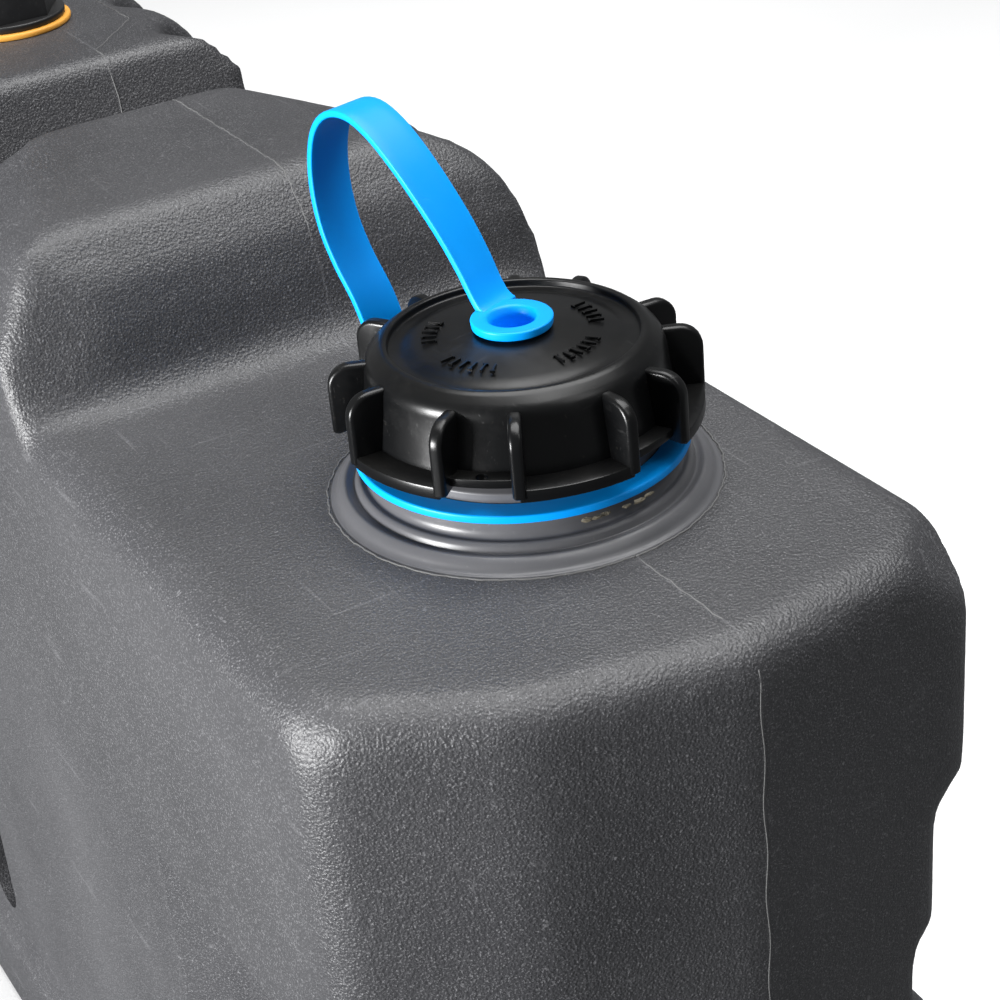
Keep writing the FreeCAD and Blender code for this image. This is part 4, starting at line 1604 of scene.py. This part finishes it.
    def thread(self) -> bpy.types.Object:
        """The thread inside the skirt.

        Returns:
            The ridge.
        """
        section = scaled([(42.9, 23.0), (40.35, 23.75), (40.35, 25.25), (42.9, 26.0)])
        return helical_ridge("cap_thread", section, THREAD_PITCH, 1.25)


@dataclass
class Tether:
    """The blue tether: a loose ring, its strap and the eyelet on the cap."""

    finishes: Finishes
    centre: Point3 = NECK_FOOT
    degrees: float = 194.0
    strap_half: float = 7.5
    strap_thick: float = 2.1

    def build(self) -> None:
        """Build the three pieces and dress them."""
        self.ring()
        self.strap()
        self.eyelet()

    def ring(self) -> None:
        """The ring that lies round the neck, with the tab the strap grows from."""
        corners = [(42.9, 12.4, 0), (50.2, 12.4, 0.5), (50.2, 14.9, 0.7), (42.9, 14.9, 0.3)]
        line = scaled(rounded(corners, 4))
        ring = lathe("tether_ring_band", line, closed=True, steps=192)
        tab = box("tab", (46 * MM, -7.5 * MM, 12.42 * MM), (53 * MM, 7.5 * MM, 14.88 * MM))
        apply_modifier(tab, "BEVEL", width=0.5 * MM, segments=3)
        move_to(tab, (0, 0, 0), (0, 0, math.radians(self.degrees)))
        ring = move_to(join([ring, tab], "tether_ring_band"), self.centre)
        smooth_faces(ring, 40.0)
        dress(ring, self.finishes.tether)
        hand_over(ring, Body.TETHER.value, Slot.TETHER_BLUE, "tether_ring")

    def route(self) -> list[tuple[float, float, float, float]]:
        """The strap's middle line and the way its width points.

        Returns:
            X and Y from the neck's axis, height and width angle, in millimetres and degrees.
        """
        return [
            (-50.0, -14.2, 13.6, 101), (-54.2, -14.2, 14.6, 101), (-56.0, -14.0, 19.0, 101),
            (-56.4, -13.7, 26.0, 102), (-58.0, -13.7, 35.0, 102), (-61.4, -14.9, 44.0, 103),
            (-66.8, -16.7, 53.5, 104), (-71.3, -18.0, 64.0, 104), (-73.8, -18.3, 75.6, 104),
            (-73.6, -17.9, 87.0, 104), (-70.4, -17.0, 96.6, 104), (-64.0, -15.5, 102.6, 104),
            (-55.0, -13.6, 104.0, 104), (-45.6, -11.6, 100.4, 104), (-36.6, -9.2, 92.8, 105),
            (-29.2, -6.5, 83.6, 107), (-23.0, -3.6, 73.6, 110), (-18.4, -1.3, 64.2, 113),
            (-15.4, 0.0, 57.4, 115), (-13.1, 0.8, 53.5, 115), (-10.8, 1.4, 51.8, 115),
            (-8.8, 1.8, 51.5, 115),
        ]

    def strap(self) -> None:
        """The strap, laid along its route, thickened and softly edged."""
        start_clean()
        rows = fair(np.array(self.route(), float), 4)
        count = len(rows)
        bpy.ops.mesh.primitive_grid_add(x_subdivisions=count - 1, y_subdivisions=4, size=1.0)
        strap = bpy.context.object
        strap.name = "tether_strap_band"
        across = sorted({round(v.co.y, 5) for v in strap.data.vertices})
        along = sorted({round(v.co.x, 5) for v in strap.data.vertices})
        for vertex in strap.data.vertices:
            i = along.index(round(vertex.co.x, 5))
            share = across.index(round(vertex.co.y, 5)) / (len(across) - 1) * 2 - 1
            *middle, facing = rows[i]
            width = Vector((math.cos(math.radians(facing)), math.sin(math.radians(facing)), 0))
            vertex.co = Vector(self.centre) + (Vector(middle) + width * share * self.strap_half) * MM
        apply_modifier(strap, "SOLIDIFY", thickness=self.strap_thick * MM, offset=0.0, use_even_offset=True)
        soften(strap, 0.45, 3)
        mend(strap)
        smooth_faces(strap, 50.0)
        dress(strap, self.finishes.tether)
        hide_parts("tether_strap")
        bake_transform(strap)
        LOG.info("%s: %d faces", strap.name, len(strap.data.polygons))

    def eyelet(self) -> None:
        """The disc and hollow stud that snaps through the cap."""
        barb = [(0.0, 38.0, 0), (6.2, 38.0, 0.8), (8.3, 41.0, 0.5), (8.3, 42.6, 0.4), (7.4, 43.2, 0.3)]
        disc = [(7.4, 50.1, 0.4), (11.9, 50.1, 0.5), (12.2, 52.8, 0.7), (7.4, 52.8, 0.9), (6.3, 50.6, 0.8)]
        corners = barb + disc + [(5.9, 40.0, 0.6), (0.0, 40.0, 0)]
        line = scaled(rounded(corners, 5))
        eyelet = lathe("tether_eyelet_stud", line, closed=False, steps=96)
        eyelet = move_to(eyelet, self.centre)
        smooth_faces(eyelet, 42.0)
        dress(eyelet, self.finishes.tether)
        hand_over(eyelet, Body.EYELET.value, Slot.TETHER_BLUE, "tether_eyelet")


def fair(rows: np.ndarray, pieces: int) -> np.ndarray:
    """A smooth line through rows of values.

    Args:
        rows: the values at each stop.
        pieces: how many steps lie between two stops.

    Returns:
        The values along the smooth line.
    """
    padded = np.vstack([2 * rows[0] - rows[1], rows, 2 * rows[-1] - rows[-2]])
    found = []
    for i in range(1, len(padded) - 2):
        a, b, c, d = padded[i - 1: i + 3]
        for k in range(pieces):
            t = k / pieces
            found.append(0.5 * (2 * b + (c - a) * t + (2 * a - 5 * b + 4 * c - d) * t**2
                                + (3 * b - a - 3 * c + d) * t**3))
    return np.array(found + [rows[-1]])


@dataclass
class PortPlugs:
    """The three hex-headed plugs with their amber washers."""

    finishes: Finishes
    flats: float = 38.0
    taper: float = 0.965
    places: tuple[tuple[str, Point3, Point3], ...] = (
        ("top", (0.0, 0.0, 0.455), (0.0, 0.0, 0.0)),
        ("front", (0.481, 0.0143, 0.048), (0.0, math.pi / 2, 0.0)),
        ("rear", (-0.481, 0.0143, 0.048), (0.0, -math.pi / 2, 0.0)),
    )

    def build(self) -> None:
        """Model one plug and one washer, and put copies at each port."""
        plug, washer = self.plug(), self.washer()
        for name, place, turn in self.places:
            copy = move_to(twin(plug, f"{name}_port_plug"), place, turn)
            dress(copy, self.finishes.plug)
            hand_over(copy, f"{name}_plug_body", Slot.PLUG_BLACK, f"{name}_plug")
            seal = move_to(twin(washer, f"{name}_port_washer"), place, turn)
            dress(seal, self.finishes.washer)
            hand_over(seal, f"{name}_washer_body", Slot.AMBER, f"{name}_plug_washer")
        for used in (plug, washer):
            bpy.data.objects.remove(used, do_unlink=True)

    def plug(self) -> bpy.types.Object:
        """A round flange with a hollow six-sided head and a hollow shank.

        Returns:
            The plug about the origin, pointing up.
        """
        corners = [
            (13.6, -12.5, 0), (16.6, -12.5, 0.8), (16.6, 2.5, 0.2), (23.6, 2.5, 0.6), (24.0, 5.4, 1.0),
            (19.0, 5.6, 0.2), (13.0, 5.8, 0.3), (13.0, 2.6, 0.4), (13.6, 0.6, 0.2),
        ]
        line = scaled(rounded(corners, 4))
        flange = lathe("plug_flange", line, closed=True, steps=96)
        head = self.head()
        web = scaled([(0.0, 6.2), (13.4, 6.2), (13.4, 8.4), (0.0, 8.4)])
        disc = lathe("plug_web", web, closed=False, steps=64)
        plug = join([flange, head, disc], "plug_master")
        return smooth_faces(plug, 40.0)

    def head(self) -> bpy.types.Object:
        """The hollow six-sided head, drawn in slightly towards its top.

        Returns:
            The head.
        """
        start_clean()
        radius = self.flats / 2 / math.cos(math.radians(30)) * MM
        middle = (0, 0, 12.4 * MM)
        bpy.ops.mesh.primitive_cylinder_add(vertices=6, radius=radius, depth=14.2 * MM, location=middle)
        head = settle(bpy.context.object)
        for vertex in head.data.vertices:
            if vertex.co.z > 15 * MM:
                vertex.co.x *= self.taper
                vertex.co.y *= self.taper
        combine(head, rod("socket", 13 * MM, (0, 0, 5.0 * MM), (0, 0, 22 * MM), 72), "DIFFERENCE")
        soften(head, 0.9, 4, 40)
        return mend(head)

    def washer(self) -> bpy.types.Object:
        """A soft washer with a rounded edge.

        Returns:
            The washer about the origin.
        """
        corners = [(17.0, 0.02, 0), (25.6, 0.02, 0.9), (26.0, 1.2, 0.6), (25.6, 2.46, 0.9), (17.0, 2.46, 0)]
        line = scaled(rounded(corners, 4))
        return smooth_faces(lathe("washer_master", line, closed=True, steps=96), 50.0)


@dataclass
class KeptNodes:
    """The inserts and the gasket, kept as they are with better finishes."""

    finishes: Finishes

    def dress(self) -> None:
        """Give each kept node its material."""
        finish = {f"{port}_port_insert": self.finishes.brass for port in ("top", "front", "rear")}
        finish["cap_gasket"] = self.finishes.gasket
        for name, material in finish.items():
            dress(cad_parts[name], material)
            LOG.info("%s: kept", name)


@dataclass
class Studio:
    """Floor, soft lights and the camera."""

    finishes: Finishes
    eye: Point3 = (0.90087, -0.27016, 0.72213)
    forward: Point3 = (-0.77022, 0.41052, -0.48809)
    roll: float = 5.35
    lens: float = 80.70

    def build(self) -> None:
        """Set up the floor, the lights and the camera."""
        self.floor()
        self.light("key_softbox", (0.45, -2.2, 0.5), (0.4, -0.1, 0.35), 0.7, 150.0)
        self.light("top_softbox", (0.2, 0.5, 2.6), (0.3, 0.3, 0.0), 2.0, 100.0)
        self.light("low_card", (-0.15, -0.45, 0.02), (-0.15, -0.45, 1.0), 0.6, 0.35)
        self.light("end_fill", (1.7, 0.7, 2.0), (0.3, 0.0, 0.42), 0.8, 6.0)
        self.world()
        self.camera()

    def floor(self) -> None:
        """A wide pale floor under the tank."""
        start_clean()
        bpy.ops.mesh.primitive_grid_add(x_subdivisions=12, y_subdivisions=12, size=24.0, location=(0, 0, 0))
        floor = bpy.context.object
        floor.name = "studio_floor"
        floor.visible_diffuse = False
        floor.visible_glossy = False
        dress(floor, PaleFloor().make())

    def light(self, name: str, place: Point3, target: Point3, size: float, watts: float) -> None:
        """A square soft light aimed at a point.

        Args:
            name: the light's name.
            place: where it hangs.
            target: what it points at.
            size: the length of its side.
            watts: its power.
        """
        lamp = bpy.data.lights.new(name, "AREA")
        lamp.energy = watts
        lamp.size = size
        obj = bpy.data.objects.new(name, lamp)
        obj.location = place
        obj.rotation_euler = (Vector(target) - Vector(place)).to_track_quat("-Z", "Y").to_euler()
        bpy.context.scene.collection.objects.link(obj)

    def world(self) -> None:
        """An even pale surrounding."""
        world = bpy.data.worlds.new("studio_white")
        world.use_nodes = True
        background = world.node_tree.nodes["Background"]
        background.inputs["Color"].default_value = (0.96, 0.98, 1.0, 1.0)
        background.inputs["Strength"].default_value = 0.2
        bpy.context.scene.world = world

    def camera(self) -> None:
        """A long lens looking down on the filler end from the near side."""
        ahead = Vector(self.forward).normalized()
        right = Vector((ahead.y, -ahead.x, 0)).normalized()
        down = ahead.cross(right)
        c, s = math.cos(math.radians(self.roll)), math.sin(math.radians(self.roll))
        turned_right = right * c + down * s
        turned_down = down * c - right * s
        camera = bpy.data.cameras.new("camera")
        camera.lens = self.lens
        camera.sensor_width = 36.0
        camera.clip_start = 0.01
        camera.clip_end = 60.0
        obj = bpy.data.objects.new("camera", camera)
        axes = Matrix((turned_right, -turned_down, -ahead)).transposed().to_4x4()
        obj.matrix_world = Matrix.Translation(self.eye) @ axes
        bpy.context.scene.collection.objects.link(obj)
        bpy.context.scene.camera = obj
        bpy.context.scene.view_settings.view_transform = "Standard"


def main() -> None:
    """Build every sub-assembly in order and report each piece."""
    logging.basicConfig(level=logging.INFO, format="%(message)s")
    finishes = Finishes()
    tank = TankBody(finishes)
    tank.build()
    PartingFlash(finishes, tank).build()
    FillerNeck(finishes).build()
    ScrewCap(finishes).build()
    Tether(finishes).build()
    PortPlugs(finishes).build()
    KeptNodes(finishes).dress()
    Studio(finishes).build()


if __name__ == "__main__":
    main()
